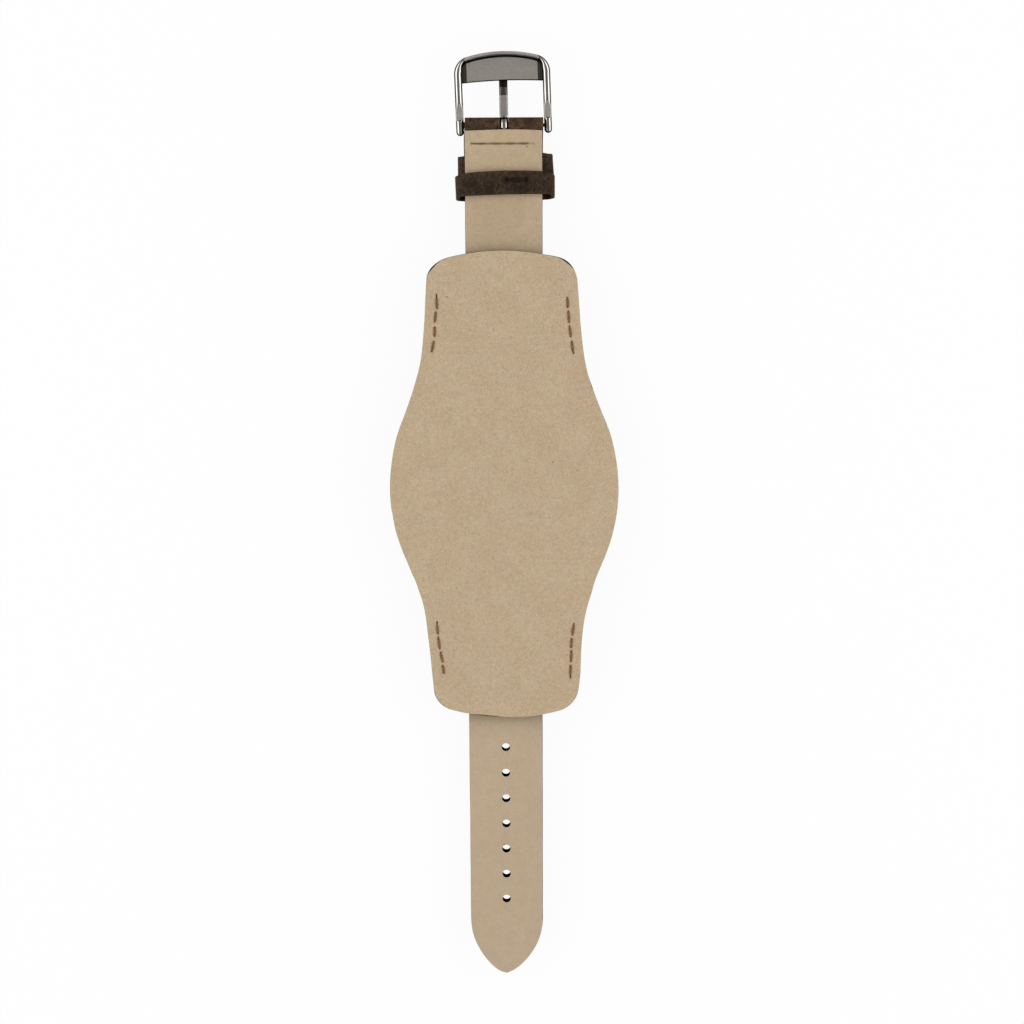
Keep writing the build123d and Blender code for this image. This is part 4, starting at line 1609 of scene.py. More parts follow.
@dataclass
class BuckleStrap(Strap):
    """The short strap, with its folds at the buckle and at the watch's bar."""

    body: Body = Body.BUCKLE_STRAP
    fold: FoldLine = field(default_factory=lambda: FoldLine(84.85, -3.05, 1.78, 1, 4.6, 6.2))
    lug: FoldLine = field(default_factory=lambda: FoldLine(9.85, -4.28, 1.73, -1, 7.0, 6.0))
    slot_half_width: float = 0.97
    slot_x: float = 0.16
    slot_start: float = 83.1
    stitch_y: float = 80.72
    lining_end: float = 83.6
    core_half: float = 8.93
    core_neck: float = 4.85
    core_shoulder: float = 71.9
    drift: float = 0.27
    # Where the thread shows between the pinched places of the row
    bumps: tuple[tuple[float, float], ...] = ((-5.9, -4.35), (-2.6, -0.85), (0.75, 2.3), (3.75, 5.5))
    stains: tuple[tuple[float, float, float, float], ...] = (
        (5.4, 80.05, 0.28, 0.9), (7.1, 80.25, 0.22, 0.6), (4.1, 79.9, 0.16, 0.45), (3.9, 75.8, 0.22, 0.35),
        (-5.9, 82.8, 0.4, 0.35), (-8.5, 78.6, 0.25, 0.5),
    )
    # creases, pressed in a little, with painted shade along them
    creases: tuple[tuple[float, float, float, float], ...] = (
        (-7.0, 83.6, -5.4, 81.9), (-6.2, 83.7, -4.9, 82.6), (-7.8, 83.1, -7.3, 81.2), (6.6, 83.5, 7.4, 82.3),
    )

    def folds(self) -> tuple[FoldLine, ...]:
        """The strap's folds."""
        return self.fold, self.lug

    def lining_marks(self) -> list[Press]:
        """Finds what marks the lining: its row of stitches with painted shade in it, stains, creases with
        painted shade along them, and painted shade between the pad and the keepers.

        Returns:
            The marks.
        """
        y = self.stitch_y
        marks = [
            # painted shade along the pinched row and in its holes
            Press((-7.4, y), (5.7, y), 0.2, depth=0.2, dark=0.75),
            Press((5.7, y), (7.0, y), 0.2, depth=0.15, dark=0.35),
            Press((-7.4, y), (-6.2, y), 0.16, depth=0.25, dark=0.95),
            # painted shade: the lining between the pad and the keepers is darkened
            Press((0, 53.0), (0, 65.0), 17.0, stain=0.16),
        ]
        # painted shade in the holes at each bump's ends
        for first, last in self.bumps:
            marks.extend(Press.spot((x, y), 0.2, depth=0.35, dark=0.8) for x in (first - 0.1, last + 0.1))
            marks.append(Press((first, y), (last, y), 0.38, depth=0.12, dark=0.1))
        marks.extend(Press.spot((x, at), size, stain=amount) for x, at, size, amount in self.stains)
        marks.extend(Press((a, b), (c, d), 0.16, depth=0.06, stain=0.28) for a, b, c, d in self.creases)
        return marks

    def build_lining(self) -> None:
        """Builds the tan sheet, drawn up over the flap at the buckle."""
        work = Workpiece("buckle_strap_lining_leather")
        wide, top, bottom = self.half_width - 0.1, self.lining_end, self.lug.y + self.lining_stop
        work.polygon([(wide, top), (-wide, top), (-wide, bottom), (wide, bottom)])
        work.grid(3.0)
        work.slice(1, [top - 0.4 * step for step in range(1, 16)])
        work.refine((-8.85, 78.2), (8.85, top - 0.05), 0.2)
        work.press(self.lining_marks())
        work.trim(lambda place: 0.04 * waviness(place.x, place.y, 1.8, 4.0))
        work.move(lambda place: AXIS_Y * (0.25 * (1 - (place.x / 9.0) ** 2) * smooth(place.y, 82.0, 83.5)))
        work.move(lambda place: AXIS_Z * self.lining_level(place.y))
        work.move(self.settle)
        work.become(
            Rider(self.body, "buckle_strap_lining", Slot.LINING),
            Sheet((STRAP_LINING, LINING_CUT, STRAP_LINING), 0.8, 0.1),
            lambda place: 1.0 - 0.6 * smooth(place.y, self.fold.back_root.x, top),
        )

    def build_face(self) -> None:
        """Builds the dark sheet: flat on the front, and folded round the bar at both ends."""
        work = Workpiece("buckle_strap_face_leather")
        wide, top, bottom = self.half_width, self.fold.front_root.x, self.lug.front_root.x
        work.polygon([(wide, top), (-wide, top), (-wide, bottom), (wide, bottom)])
        slot = [self.slot_x - self.slot_half_width, self.slot_x + self.slot_half_width]
        work.slice(0, [-7.8, -6.0, -3.6, *slot, 3.6, 6.0, 7.8])
        work.slice(1, [bottom + (top - bottom) * step / 18 for step in range(1, 18)])
        work.lift(self.face_front)
        self.fold.wrap(work)
        self.lug.wrap(work)
        self.cut_tongue_slot(work)
        work.move(self.spread)
        work.move(self.settle)
        rider = Rider(self.body, "buckle_strap_face", Slot.FACE)
        work.become(rider, Sheet(FACE_LAYERS, 1.0, 0.14, -AXIS_Z), self.face_share)

    def spread(self, place: Vector) -> Vector:
        """How far the leather spreads where it is flat, and draws in round the bar.

        Args:
            place: The place on it.

        Returns:
            The way there.
        """
        round_bar = smooth(place.y, 82.0, 85.0)
        right = max(0.0, place.x) / self.half_width * 0.34 * round_bar
        fuller = 0.012 * smooth(place.y, 68.0, 76.0)
        return Vector((place.x * (fuller - 0.03 * round_bar) + right, 0, 0))

    def cut_tongue_slot(self, work: Workpiece) -> None:
        """Opens the fold for the tongue.

        Args:
            work: The folded sheet.
        """
        def beyond(centre: Vector, start: float) -> bool:
            """Whether a face is in the slot's line, past a place along the strap."""
            return abs(centre.x - self.slot_x) < self.slot_half_width and centre.y > start

        work.slice(1, [self.slot_start], lambda centre: beyond(centre, self.slot_start - 3.0))
        gone = [face for face in work.mesh.faces if beyond(face.calc_center_median(), self.slot_start)]
        bmesh.ops.delete(work.mesh, geom=gone, context="FACES")

    def build_core(self) -> None:
        """Builds the stiffener, seen as a thin dark line between the leathers."""
        work = Workpiece("buckle_strap_stiffener")
        top, bottom = self.fold.back_root.x - 0.1, self.lug.back_root.x + 0.1
        wide, neck, shoulder = self.core_half, self.core_neck, self.core_shoulder
        half = [(neck, shoulder), (neck, top), (-neck, top), (-neck, shoulder), (-wide, shoulder)]
        work.polygon([(wide, shoulder), *half, (-wide, bottom), (wide, bottom)])
        work.grid(4.0)
        work.lift(self.core_back)
        work.move(self.settle)
        work.become(Rider(self.body, "buckle_strap_core", Slot.STIFFENER), Sheet((STIFFENER,) * 3, 0.4, 0.05))

    def build_end_stitching(self) -> None:
        """Sews the row across the fold: low brown bumps on the lining, plain stitches on the front."""
        y, level = self.stitch_y, self.lining_level(self.stitch_y) - 0.2
        bumps = [Stitch((x0 + self.drift, y, level), (x1 + self.drift, y, level)) for x0, x1 in self.bumps]
        rider = Rider(self.body, "buckle_end_stitching", Slot.GOLDEN_THREAD)
        row = ThreadRow(rider, RUST_THREAD, size=0.46, rise=0.08)
        row.build(bumps + plain_row(y, [(self.fold.front_height(y), -AXIS_Z)]))

    def build(self) -> None:
        """Builds every piece of the buckle strap but its keepers."""
        self.build_lining()
        self.build_face()
        self.build_core()
        self.build_end_stitching()
        self.sew("buckle_lug_stitching", self.lug, self.lug.y + 5.0)


@dataclass
class TailStrap(Strap):
    """The long strap, with its punched holes and pointed end."""

    lug: FoldLine = field(default_factory=lambda: FoldLine(-8.5, -4.28, 1.73, 1, 7.0, 6.0))
    tip_y: float = -124.35
    shoulder_y: float = -109.85
    blunt: tuple[float, float] = (0.575, -124.051)
    hole_radius: float = 1.025
    hole_pitch: float = 6.61
    first_hole: float = -104.35
    hole_count: int = 7

    def folds(self) -> tuple[FoldLine, ...]:
        """The strap's only fold."""
        return (self.lug,)

    def draw(self, work: Workpiece, end_y: float, inset: float, pitch: float) -> None:
        """Draws the tail with its row of holes, fills it and cuts it into squares.

        Args:
            work: The piece to draw in.
            end_y: Where its square end is.
            inset: How far its edges are drawn in.
            pitch: About how wide a square is.
        """
        wide = self.half_width - inset
        chain = Chain(work.mesh, (wide, end_y), (0, -1))
        chain.run((wide, self.shoulder_y)).bend((self.blunt[0], self.blunt[1] + inset), 18)
        chain.bend((0, self.tip_y + inset), 3)
        work.mirrored("X")
        Chain(work.mesh, (wide, end_y), (-1, 0)).run((-wide, end_y))
        for index in range(self.hole_count):
            work.circle((0, self.first_hole + index * self.hole_pitch), self.hole_radius, 24)
        work.fill()
        work.grid(pitch)
        self.darken_holes(work)

    def point(self, place: Vector) -> Vector:
        """How the tip differs from its plain outline: fuller at its left, and blunter.

        Args:
            place: The place on the tail.

        Returns:
            The way there.
        """
        near = smooth(-place.y, 117.0, 124.0)
        left = 0.58 * smooth(place.x, -8.5, -5.5) * (1 - smooth(place.x, -3.0, 6.0))
        right = 0.17 * smooth(place.x, 1.5, 4.0) * (1 - smooth(place.x, 5.0, 7.5))
        blunt = 0.36 * max(0.0, 1 - (place.x / 1.6) ** 2)
        return AXIS_Y * ((blunt - left - right) * near)

    def darken_holes(self, work: Workpiece) -> None:
        """Marks the faces round the punched holes, so that the holes' walls come out near black with painted
        shade.

        Args:
            work: The punched sheet.
        """
        last_hole = self.first_hole + (self.hole_count - 1) * self.hole_pitch
        reach = self.hole_radius + 0.1
        for vert in work.mesh.verts:
            in_row = self.first_hole - 2.0 < vert.co.y < last_hole + 4.0 and abs(vert.co.x) < reach
            if in_row and any(edge.is_boundary for edge in vert.link_edges):
                for face in vert.link_faces:
                    face.material_index = 3

    def build_lining(self) -> None:
        """Builds the tan sheet, punched and pointed."""
        work = Workpiece("tail_strap_lining_leather")
        self.draw(work, self.lug.y - self.lining_stop, 0.05, 3.0)
        work.slice(1, [-56.0 - 0.4 * step for step in range(10)])
        # painted shadow: the pad's lower edge darkens the tail's lining where it comes out from under the pad
        work.press([Press((-9.0, -56.2), (9.0, -56.2), 2.6, stain=0.42)])
        work.trim(lambda place: 0.03 * waviness(place.x, place.y, 2.0, 7.0) if abs(place.x) > 1.2 else 0.0)
        work.move(lambda place: AXIS_Z * self.lining_level(place.y))
        work.move(self.point)
        work.move(self.settle)
        work.become(
            Rider(self.body, "tail_strap_lining", Slot.LINING),
            Sheet((TAIL_LINING, LINING_CUT, TAIL_LINING, TAIL_LINING, SHADED_HOLE_CUT), 0.8, 0.1),
            lambda place: 1.0 - 0.6 * smooth(place.y, -14.5, -9.5),
        )

    def build_face(self) -> None:
        """Builds the dark sheet: the front of the tail, and the fold round the watch's bar."""
        work = Workpiece("tail_strap_face_leather")
        self.draw(work, self.lug.front_root.x, 0.0, 3.0)
        work.lift(self.face_front)
        self.lug.wrap(work)
        work.move(lambda place: AXIS_X * (0.06 * smooth(place.x, 7.0, 9.0)))
        work.move(self.point)
        work.move(self.settle)
        rider = Rider(self.body, "tail_strap_face", Slot.FACE)
        work.become(rider, Sheet((*FACE_LAYERS, FACE_SKIN, SHADED_HOLE_CUT), 1.0, 0.14, -AXIS_Z), self.face_share)

    def build_core(self) -> None:
        """Builds the stiffener of the tail."""
        work = Workpiece("tail_strap_stiffener")
        self.draw(work, self.lug.back_root.x - 0.1, 0.07, 4.0)
        work.lift(self.core_back)
        work.move(self.settle)
        rider = Rider(self.body, "tail_strap_core", Slot.STIFFENER)
        work.become(rider, Sheet((*(STIFFENER,) * 4, SHADED_HOLE_CUT), 0.4, 0.05))

    def build(self) -> None:
        """Builds every piece of the tail."""
        self.build_lining()
        self.build_face()
        self.build_core()
        self.sew("tail_lug_stitching", self.lug, self.lug.y - 5.0)


# The keepers


@dataclass
class Keepers:
    """The two leather loops: one caught between the strap's layers, one free to slide."""

    fixed_width: float = 5.9
    float_width: float = 5.03
    thickness: float = 0.8
    bend: float = 1.6
    float_bend: float = 2.6
    fixed_top: float = 78.28
    fixed_half: float = 10.7
    fixed_front: float = -7.85
    tuck_level: float = -3.15
    float_top: float = 74.21
    float_half: float = 11.65
    float_back: float = -1.4
    float_front: float = -8.8
    drift: float = 0.27
    float_shift: float = 0.5
    staple_ends: tuple[tuple[float, float], tuple[float, float]] = ((0.5, 72.25), (4.98, 72.2))
    weakest_mark: float = 0.01

    def loop(
        self, work: Workpiece, start: float, half: float, back: float, front: float, bend: float
    ) -> None:
        """Draws a loop's outer line, as it is seen along the strap, in X and Z.

        Args:
            work: The piece to draw in.
            start: Where its back starts on each side; 0 closes it.
            half: Half of its width across the strap.
            back: The level of its back.
            front: The level of its front.
            bend: The radius of its turns.
        """
        chain = Chain(work.mesh, (start, back), (1, 0))
        chain.run((half - bend, back)).bend((half, back - bend), 8).run((half, front + bend))
        chain.bend((half - bend, front), 8).run((0, front))
        work.mirrored("X")
        work.merge()

    def pull(self, work: Workpiece, top: float, width: float) -> None:
        """Cuts the line's long runs, stands it up across the strap and pulls it out to the loop's width.

        Args:
            work: The loop, drawn as a line.
            top: Where it starts along the strap.
            width: How wide it is along the strap.
        """
        long_edges = [edge for edge in work.mesh.edges if edge.calc_length() > 2.0]
        bmesh.ops.subdivide_edges(work.mesh, edges=long_edges, cuts=7)
        upright = Matrix.Rotation(math.radians(90), 3, "X")
        bmesh.ops.rotate(work.mesh, cent=(0, 0, 0), matrix=upright, verts=work.mesh.verts)
        bmesh.ops.translate(work.mesh, vec=(0, top, 0), verts=work.mesh.verts)
        push_edges(work.mesh, list(work.mesh.edges), Vector((-width, 0)), 8)

    def build_floating(self) -> None:
        """Builds the free loop: turned a little, its front hanging back, its middle bowed."""
        work = Workpiece("floating_keeper_leather")
        self.loop(work, 0.0, self.float_half, self.float_back, self.float_front, self.float_bend)
        self.pull(work, self.float_top, self.float_width)

        def on_back(place: Vector) -> bool:
            """Whether a place is on the loop's back run."""
            return place.z > self.float_back - 0.3

        def by_staple(centre: Vector) -> bool:
            """Whether a face is near the staple."""
            return on_back(centre) and 0.0 < centre.x < 6.2 and abs(centre.y - 72.0) < 1.6

        work.slice(0, [0.2 + 0.22 * step for step in range(27)], by_staple)
        work.slice(1, [70.9 + 0.22 * step for step in range(11)], by_staple)
        # painted shade in the staple's holes and along its groove
        marks = [Press.spot(end, 0.6, depth=0.5, dark=1.0) for end in self.staple_ends]
        marks.append(Press(*self.staple_ends, 0.55, depth=0.12, dark=0.6))

        def is_marked(place: Vector) -> bool:
            """Whether the marks are felt at a place on the back run."""
            felt = max(mark.dark * mark.share(place.x, place.y) for mark in marks)
            return on_back(place) and felt > self.weakest_mark

        work.press(marks, is_marked)
        work.move(self.slump)
        rider = Rider(Body.FLOATING_KEEPER, "floating_keeper", Slot.KEEPER)
        work.become(rider, Sheet(KEEPER_LAYERS, self.thickness, 0.13, -AXIS_Z))

    def slump(self, place: Vector) -> Vector:
        """How the free loop lies: turned, shifted, its middle bowed, and its front lagging behind.

        Args:
            place: The place on it.

        Returns:
            The way there.
        """
        wide, drop, is_right = abs(place.x), self.float_back - place.z, place.x > 0
        upper = smooth(place.y, self.float_top - self.float_width, self.float_top)
        lag = (0.45 if is_right else 0.22) * upper * smooth(wide, 8.5, self.float_half)
        lag += 0.19 * max(0.0, drop - 0.2)
        arch = 1 - (place.x / self.float_half) ** 2
        bow = (0.2 + 0.42 * upper) * arch * (1 - smooth(drop, 0.5, 3.0)) - 0.2
        crown = 0.16 * arch * (1 - smooth(drop, 0.2, 2.0)) - 0.1
        wave = 0.06 * waviness(place.x, place.y + place.z, 4.0, 9.0)
        narrow = 0.16 * smooth(drop, 0.2, 2.5) + 0.14 * (1 - upper) * smooth(wide, 9.0, self.float_half)
        across = self.float_shift + (narrow if place.x < 0 else 0.0)
        return Vector((across, 0.02 * place.x - lag + bow + wave, crown))

    def build_staple(self) -> None:
        """Builds the dark stitch that closes the free loop."""
        ends = [Vector((*end, self.float_back)) for end in self.staple_ends]
        first, last = (tuple(end + self.slump(end) - AXIS_Z * 0.02) for end in ends)
        rider = Rider(Body.FLOATING_KEEPER, "floating_keeper_stitch", Slot.DARK_THREAD)
        row = ThreadRow(rider, DARK_THREAD, size=0.42, rise=0.08, leg=0.6)
        row.build([Stitch(first, last)], "floating_keeper_staple")

    def build_fixed(self) -> None:
        """Builds the caught loop: open at the back, where its ends run in between the layers."""
        work = Workpiece("fixed_keeper_leather")
        self.loop(work, 5.0, self.fixed_half, self.tuck_level, self.fixed_front, self.bend)
        self.pull(work, self.fixed_top, self.fixed_width)
        work.move(self.lean)
        rider = Rider(Body.BUCKLE_STRAP, "fixed_keeper", Slot.KEEPER)
        work.become(rider, Sheet(KEEPER_LAYERS, self.thickness, 0.13, -AXIS_Z), self.fixed_share)

    def lean(self, place: Vector) -> Vector:
        """How the caught loop lies: turned, and pushed over to the right.

        Args:
            place: The place on it.

        Returns:
            The way there.
        """
        wide, drop, is_right = abs(place.x), self.tuck_level - place.z, place.x > 0
        loose = smooth(wide, 8.8, 9.6)
        down = smooth(self.fixed_top - place.y, 0.0, self.fixed_width)
        right = 0.65 + 0.33 * down if is_right else 0.0
        flare = loose * (right * smooth(drop, 0.1, 2.2) + 0.1)
        lag = 0.35 * smooth(drop, 1.0, 4.0)
        lag += (0.28 if is_right else 0.12) * smooth(wide, 8.9, self.fixed_half)
        return Vector((self.drift + flare, 0.036 * place.x - lag, 0.0))

    def fixed_share(self, place: Vector) -> float:
        """The share of full thickness: the tucked ends are skived to half."""
        return 0.48 + 0.52 * smooth(abs(place.x), 8.9, 9.7) if place.z > self.tuck_level - 0.25 else 1.0

    def build(self) -> None:
        """Builds both keepers and the stitch."""
        self.build_fixed()
        self.build_floating()
        self.build_staple()


# The buckle


@dataclass
class Buckle:
    """The steel frame with its broad bar, and the tongue."""

    bar_y: float = 84.85
    bar_z: float = -3.05
    rail_radius: float = 0.88
    rail_x: float = 10.12
    crown_y: float = 100.53
    crown_angle: float = math.radians(14.85)
    corner_radius: float = 3.1
    rim_narrow: float = 0.5
    rim_out: float = 0.44
    ear_end: float = 83.62
    lean: float = math.radians(1.78)
    drift: float = 0.44
    facet_start: float = 86.25
    facet_end: float = 90.0
    facet_depth: float = 0.46
    plate_back: float = -3.15
    plate_front: float = -4.15
    plate_edge: float = 94.73
    plate_arch: float = 0.4
    plate_short: float = 0.48
    plate_reach: float = 0.4
    plate_band: float = 8.15
    groove_depth: float = 0.55
    plate_half: float = 9.99
    rim_radius: float = 30.0
    rim_flat: float = 7.6
    tongue_width: float = 1.95
    tongue_lean: float = 0.014
    loop_radius: float = 1.075
    loop_wall: float = 0.55
    tongue_thickness: float = 0.9
    tongue_bend: float = 92.85
    tongue_level: float = -4.65
    tongue_tip: float = 100.55
    flat_start: float = 86.75
    flat_end: float = 91.75
    shade_end: float = 93.4
    loop_crown: float = 0.36

    def rail_line(self) -> list[tuple[Vector, Vector]]:
        """Draws the frame's centre line from the middle of the crown to the right ear.

        Returns:
            Points on it, each with the heading there.
        """
        line = []
        place, heading = Vector((0, self.crown_y)), 0.0
        sine = math.sin(self.crown_angle)
        crown_radius = (self.rail_x - self.corner_radius * (1 - sine)) / sine
        corner_angle = math.pi / 2 - self.crown_angle
        for radius, angle, steps in (
            (crown_radius, self.crown_angle, 18), (self.corner_radius, corner_angle, 16),
        ):
            centre = place - round_point(heading + math.pi / 2) * radius
            for step in range(steps):
                now = heading - angle * step / steps
                line.append((centre + round_point(now + math.pi / 2) * radius, round_point(now)))
            heading -= angle
            place = centre + round_point(heading + math.pi / 2) * radius
        ahead = round_point(heading)
        length = (place.y - self.ear_end) / -ahead.y
        count = round(length / 0.16)
        line.extend((place + ahead * (length * step / count), ahead) for step in range(count + 1))
        return line

    def build_frame(self) -> None:
        """Builds the rails and crown as one bent rod, with flats ground on its back."""
        work = Workpiece("buckle_frame_steel")
        frames = []
        for point, ahead in self.rail_line():
            rim = 1 - smooth(math.acos(min(1.0, ahead.x)), 0.45, 1.35)
            place = path_frame(Vector((*point, self.bar_z)), Vector((*ahead, 0)), AXIS_Z)
            place = place @ Matrix.Translation((self.rim_out * rim, 0, 0))
            frames.append(place @ Matrix.Diagonal((1 - (1 - self.rim_narrow) * rim, 1, 1, 1)))
        end = frames[-1]
        for step in range(1, 8):
            way = round_point(math.pi / 2 * step / 8)
            frames.append(end @ Matrix.Translation((0, 0, self.rail_radius * way.y)) @ Matrix.Scale(way.x, 4))
        sweep(work.mesh, round_section(2 * self.rail_radius, 40), frames)
        caps = [face for face in work.mesh.faces if len(face.verts) > 4]
        caps = [face for face in caps if face.calc_center_median().x < 0.01]
        bmesh.ops.delete(work.mesh, geom=caps, context="FACES_ONLY")
        work.mirrored("X")
        work.merge()
        self.grind_facets(work)
        for face in work.mesh.faces:
            x, y, _ = face.calc_center_median()
            if y > self.crown_line(abs(x)) - 0.3 and abs(x) < 8.4:
                face.material_index = 2
        self.hang(work, [POLISHED, GROUND_STEEL, RIM_STEEL])

    def hang(self, work: Workpiece, finishes: Sequence[Finish]) -> None:
        """Turns a part of the frame as the buckle hangs, and delivers it.

        Args:
            work: The part.
            finishes: Its finishes, in the order of its material numbers.
        """
        verts = work.mesh.verts
        bmesh.ops.recalc_face_normals(work.mesh, faces=work.mesh.faces)
        turn = Matrix.Rotation(self.lean, 3, "Z")
        bmesh.ops.rotate(work.mesh, cent=(0, self.bar_y, self.bar_z), matrix=turn, verts=verts)
        bmesh.ops.translate(work.mesh, vec=(self.drift, 0, 0), verts=verts)
        work.solidified(Rider(Body.BUCKLE, "buckle_frame", Slot.STEEL), finishes)

    def grind_facets(self, work: Workpiece) -> None:
        """Flattens the rails' backs: the flats run in from the rails and stop square at the ears.

        Args:
            work: The frame.
        """
        def ground(y: float) -> float:
            """The level that the rails' backs are ground down to."""
            return self.bar_z + self.rail_radius - self.facet_depth * smooth(self.facet_end - y, -0.4, 1.9)

        for vert in work.mesh.verts:
            if self.facet_start < vert.co.y < self.facet_end and vert.co.z > self.bar_z:
                vert.co.z = min(vert.co.z, ground(vert.co.y))
        for face in work.mesh.faces:
            y = face.calc_center_median().y
            inside = self.facet_start + 0.05 < y < self.facet_end
            if inside and all(vert.co.z > ground(y) - 0.03 for vert in face.verts):
                face.material_index = 1

    def build_plate(self) -> None:
        """Builds the plate: a satin slab, short of the rim, on a slab in painted shade that reaches it."""
        work = Workpiece("buckle_plate_steel")
        deep = self.plate_back - self.groove_depth
        for face in self.lay_slab(work, self.plate_back, deep - 0.02, self.plate_short):
            middle = face.calc_center_median()
            # painted shade: the lower edge's rounding takes shaded steel, and the ends past plate_band take
            # satin steel in shade
            is_side = face.normal.z < 0.985 and middle.y < self.plate_edge + 1.0
            face.material_index = 1 if is_side else 2 * int(abs(middle.x) > self.plate_band)
        # the lower slab shows only in the groove by the rim, painted in shade
        for face in self.lay_slab(work, deep, self.plate_front, -self.plate_reach):
            face.material_index = 1
        self.hang(work, [SATIN, SHADED_STEEL, DEEP_SATIN])

    def lay_slab(self, work: Workpiece, back: float, front: float, short: float) -> list[bmesh.types.BMFace]:
        """Lays one slab of the plate, with an arched and rounded lower edge.

        Args:
            work: The plate.
            back: The level of its back, towards the wrist.
            front: The level of its front.
            short: How far it stops before the middle of the rim.

        Returns:
            Its faces.
        """
        known, half = len(work.mesh.faces), self.plate_half
        middle = Vector((0, (self.crown_y + self.plate_edge) / 2, (back + front) / 2))
        size = Matrix.Diagonal((2 * half, self.crown_y - self.plate_edge, back - front, 1))
        slab = bmesh.new()
        made = bmesh.ops.create_cube(slab, size=1.0, matrix=Matrix.Translation(middle) @ size)["verts"]
        edges = {edge for vert in made for edge in vert.link_edges}
        across = [edge for edge in edges if abs(edge.verts[0].co.x - edge.verts[1].co.x) > 5]
        bmesh.ops.subdivide_edges(slab, edges=across, cuts=31, use_grid_fill=True)
        for vert in slab.verts:
            wide = abs(vert.co.x)
            if vert.co.y > middle.y:
                vert.co.y = self.crown_line(wide) - short
            else:
                vert.co.y -= self.plate_arch * ((wide / half) ** 2 - 0.35)
        lower = [
            edge for edge in slab.edges
            if all(vert.co.y < middle.y for vert in edge.verts)
            and abs(edge.verts[0].co.x - edge.verts[1].co.x) > 0.1
        ]
        bmesh.ops.bevel(
            slab, geom=lower, offset=0.22, offset_type="OFFSET", segments=3, profile=0.5, affect="EDGES",
            material=-1,
        )
        join = bpy.data.meshes.new("slab")
        slab.to_mesh(join)
        slab.free()
        work.mesh.from_mesh(join)
        bpy.data.meshes.remove(join)
        work.mesh.normal_update()
        work.mesh.faces.ensure_lookup_table()
        return work.mesh.faces[known:]

    def crown_line(self, x: float) -> float:
        """Finds how far up the plate reaches: to the middle of the rim's rod.

        Args:
            x: The place across it.

        Returns:
            The place along it.
        """
        past = max(0.0, x - self.rim_flat)
        drop = self.rim_radius - math.sqrt(self.rim_radius**2 - min(x, self.rim_flat) ** 2)
        fall = self.corner_radius - math.sqrt(max(0.0, self.corner_radius**2 - min(past, 2.4) ** 2))
        return self.crown_y - drop - 0.28 * past - fall

    def tongue_join(self) -> Vector:
        """Where the tongue's rolled end runs out into its long flat, in Y and Z."""
        return Vector((self.bar_y + 2.3, self.bar_z - 0.55))

    def tongue_line(self) -> list[tuple[Vector, float]]:
        """Draws the tongue's middle line in Y and Z, from its rolled end to its tip.

        Returns:
            Points on it, each with the thickness there.
        """
        def curve(*points: Vector, count: int) -> list[Vector]:
            """A curve through the first and the last of four points, drawn to the other two."""
            flat = geometry.interpolate_bezier(*(point.to_3d() for point in points), count)
            return [point.xy for point in flat]

        thick, wall, ahead = self.tongue_thickness, self.loop_wall, Vector((1.0, 0))
        first, last = math.radians(32), math.radians(285)
        centre = Vector((self.bar_y, self.bar_z))
        angles = [first + (last - first) * step / 28 for step in range(29)]
        line = [(centre + round_point(angle) * self.loop_radius, wall) for angle in angles]
        leave, way = line[-1][0], round_point(last + math.pi / 2)
        join, bend = self.tongue_join(), Vector((self.tongue_bend, self.tongue_level))
        slope = (bend - join).normalized()
        run_out = curve(leave, leave + way * 0.8, join - slope * 0.8, join, count=8)
        line.extend((point, wall + (thick - wall) * step / 7) for step, point in enumerate(run_out[1:], 1))
        line.extend((join.lerp(bend, step / 22), thick) for step in range(1, 22))
        line = [item for item in line if item[0].x < bend.x - 1.05]
        line.extend((point, thick) for point in curve(bend - slope, bend, bend, bend + ahead, count=7))
        tip = Vector((self.tongue_tip, self.tongue_level))
        line.extend(((bend + ahead).lerp(tip, step / 10), thick - 0.012 * step) for step in range(1, 11))
        return line

    def build_tongue(self) -> None:
        """Builds the tongue: a flat bar rolled round the spring bar, with a blunt tip."""
        work = Workpiece("buckle_tongue_steel")
        line = self.tongue_line()
        frames = []
        for index, (point, thickness) in enumerate(line):
            before, after = line[max(0, index - 1)][0], line[min(len(line) - 1, index + 1)][0]
            ahead = after - before
            up = Vector((0, -ahead.y, ahead.x)).normalized()
            place = path_frame(Vector((0, *point)), Vector((0, *ahead)), up)
            from_tip = (line[-1][0] - point).length if point.x > self.tongue_bend else 1.0
            narrow = 0.72 + 0.28 * math.sqrt(1 - (1 - min(1.0, from_tip)) ** 2)
            frames.append(place @ Matrix.Diagonal((self.tongue_width * narrow, thickness, 1, 1)))
        sweep(work.mesh, round_section(1.0, 36), frames)
        bmesh.ops.recalc_face_normals(work.mesh, faces=work.mesh.faces)
        self.grind_tongue(work)
        work.move(lambda place: AXIS_X * (self.drift - self.tongue_lean * (place.y - self.bar_y)))
        rider = Rider(Body.TONGUE, "buckle_tongue", Slot.STEEL)
        work.solidified(rider, [LOOP_STEEL, TONGUE_STEEL, DEEP_SATIN, SHADED_STEEL])

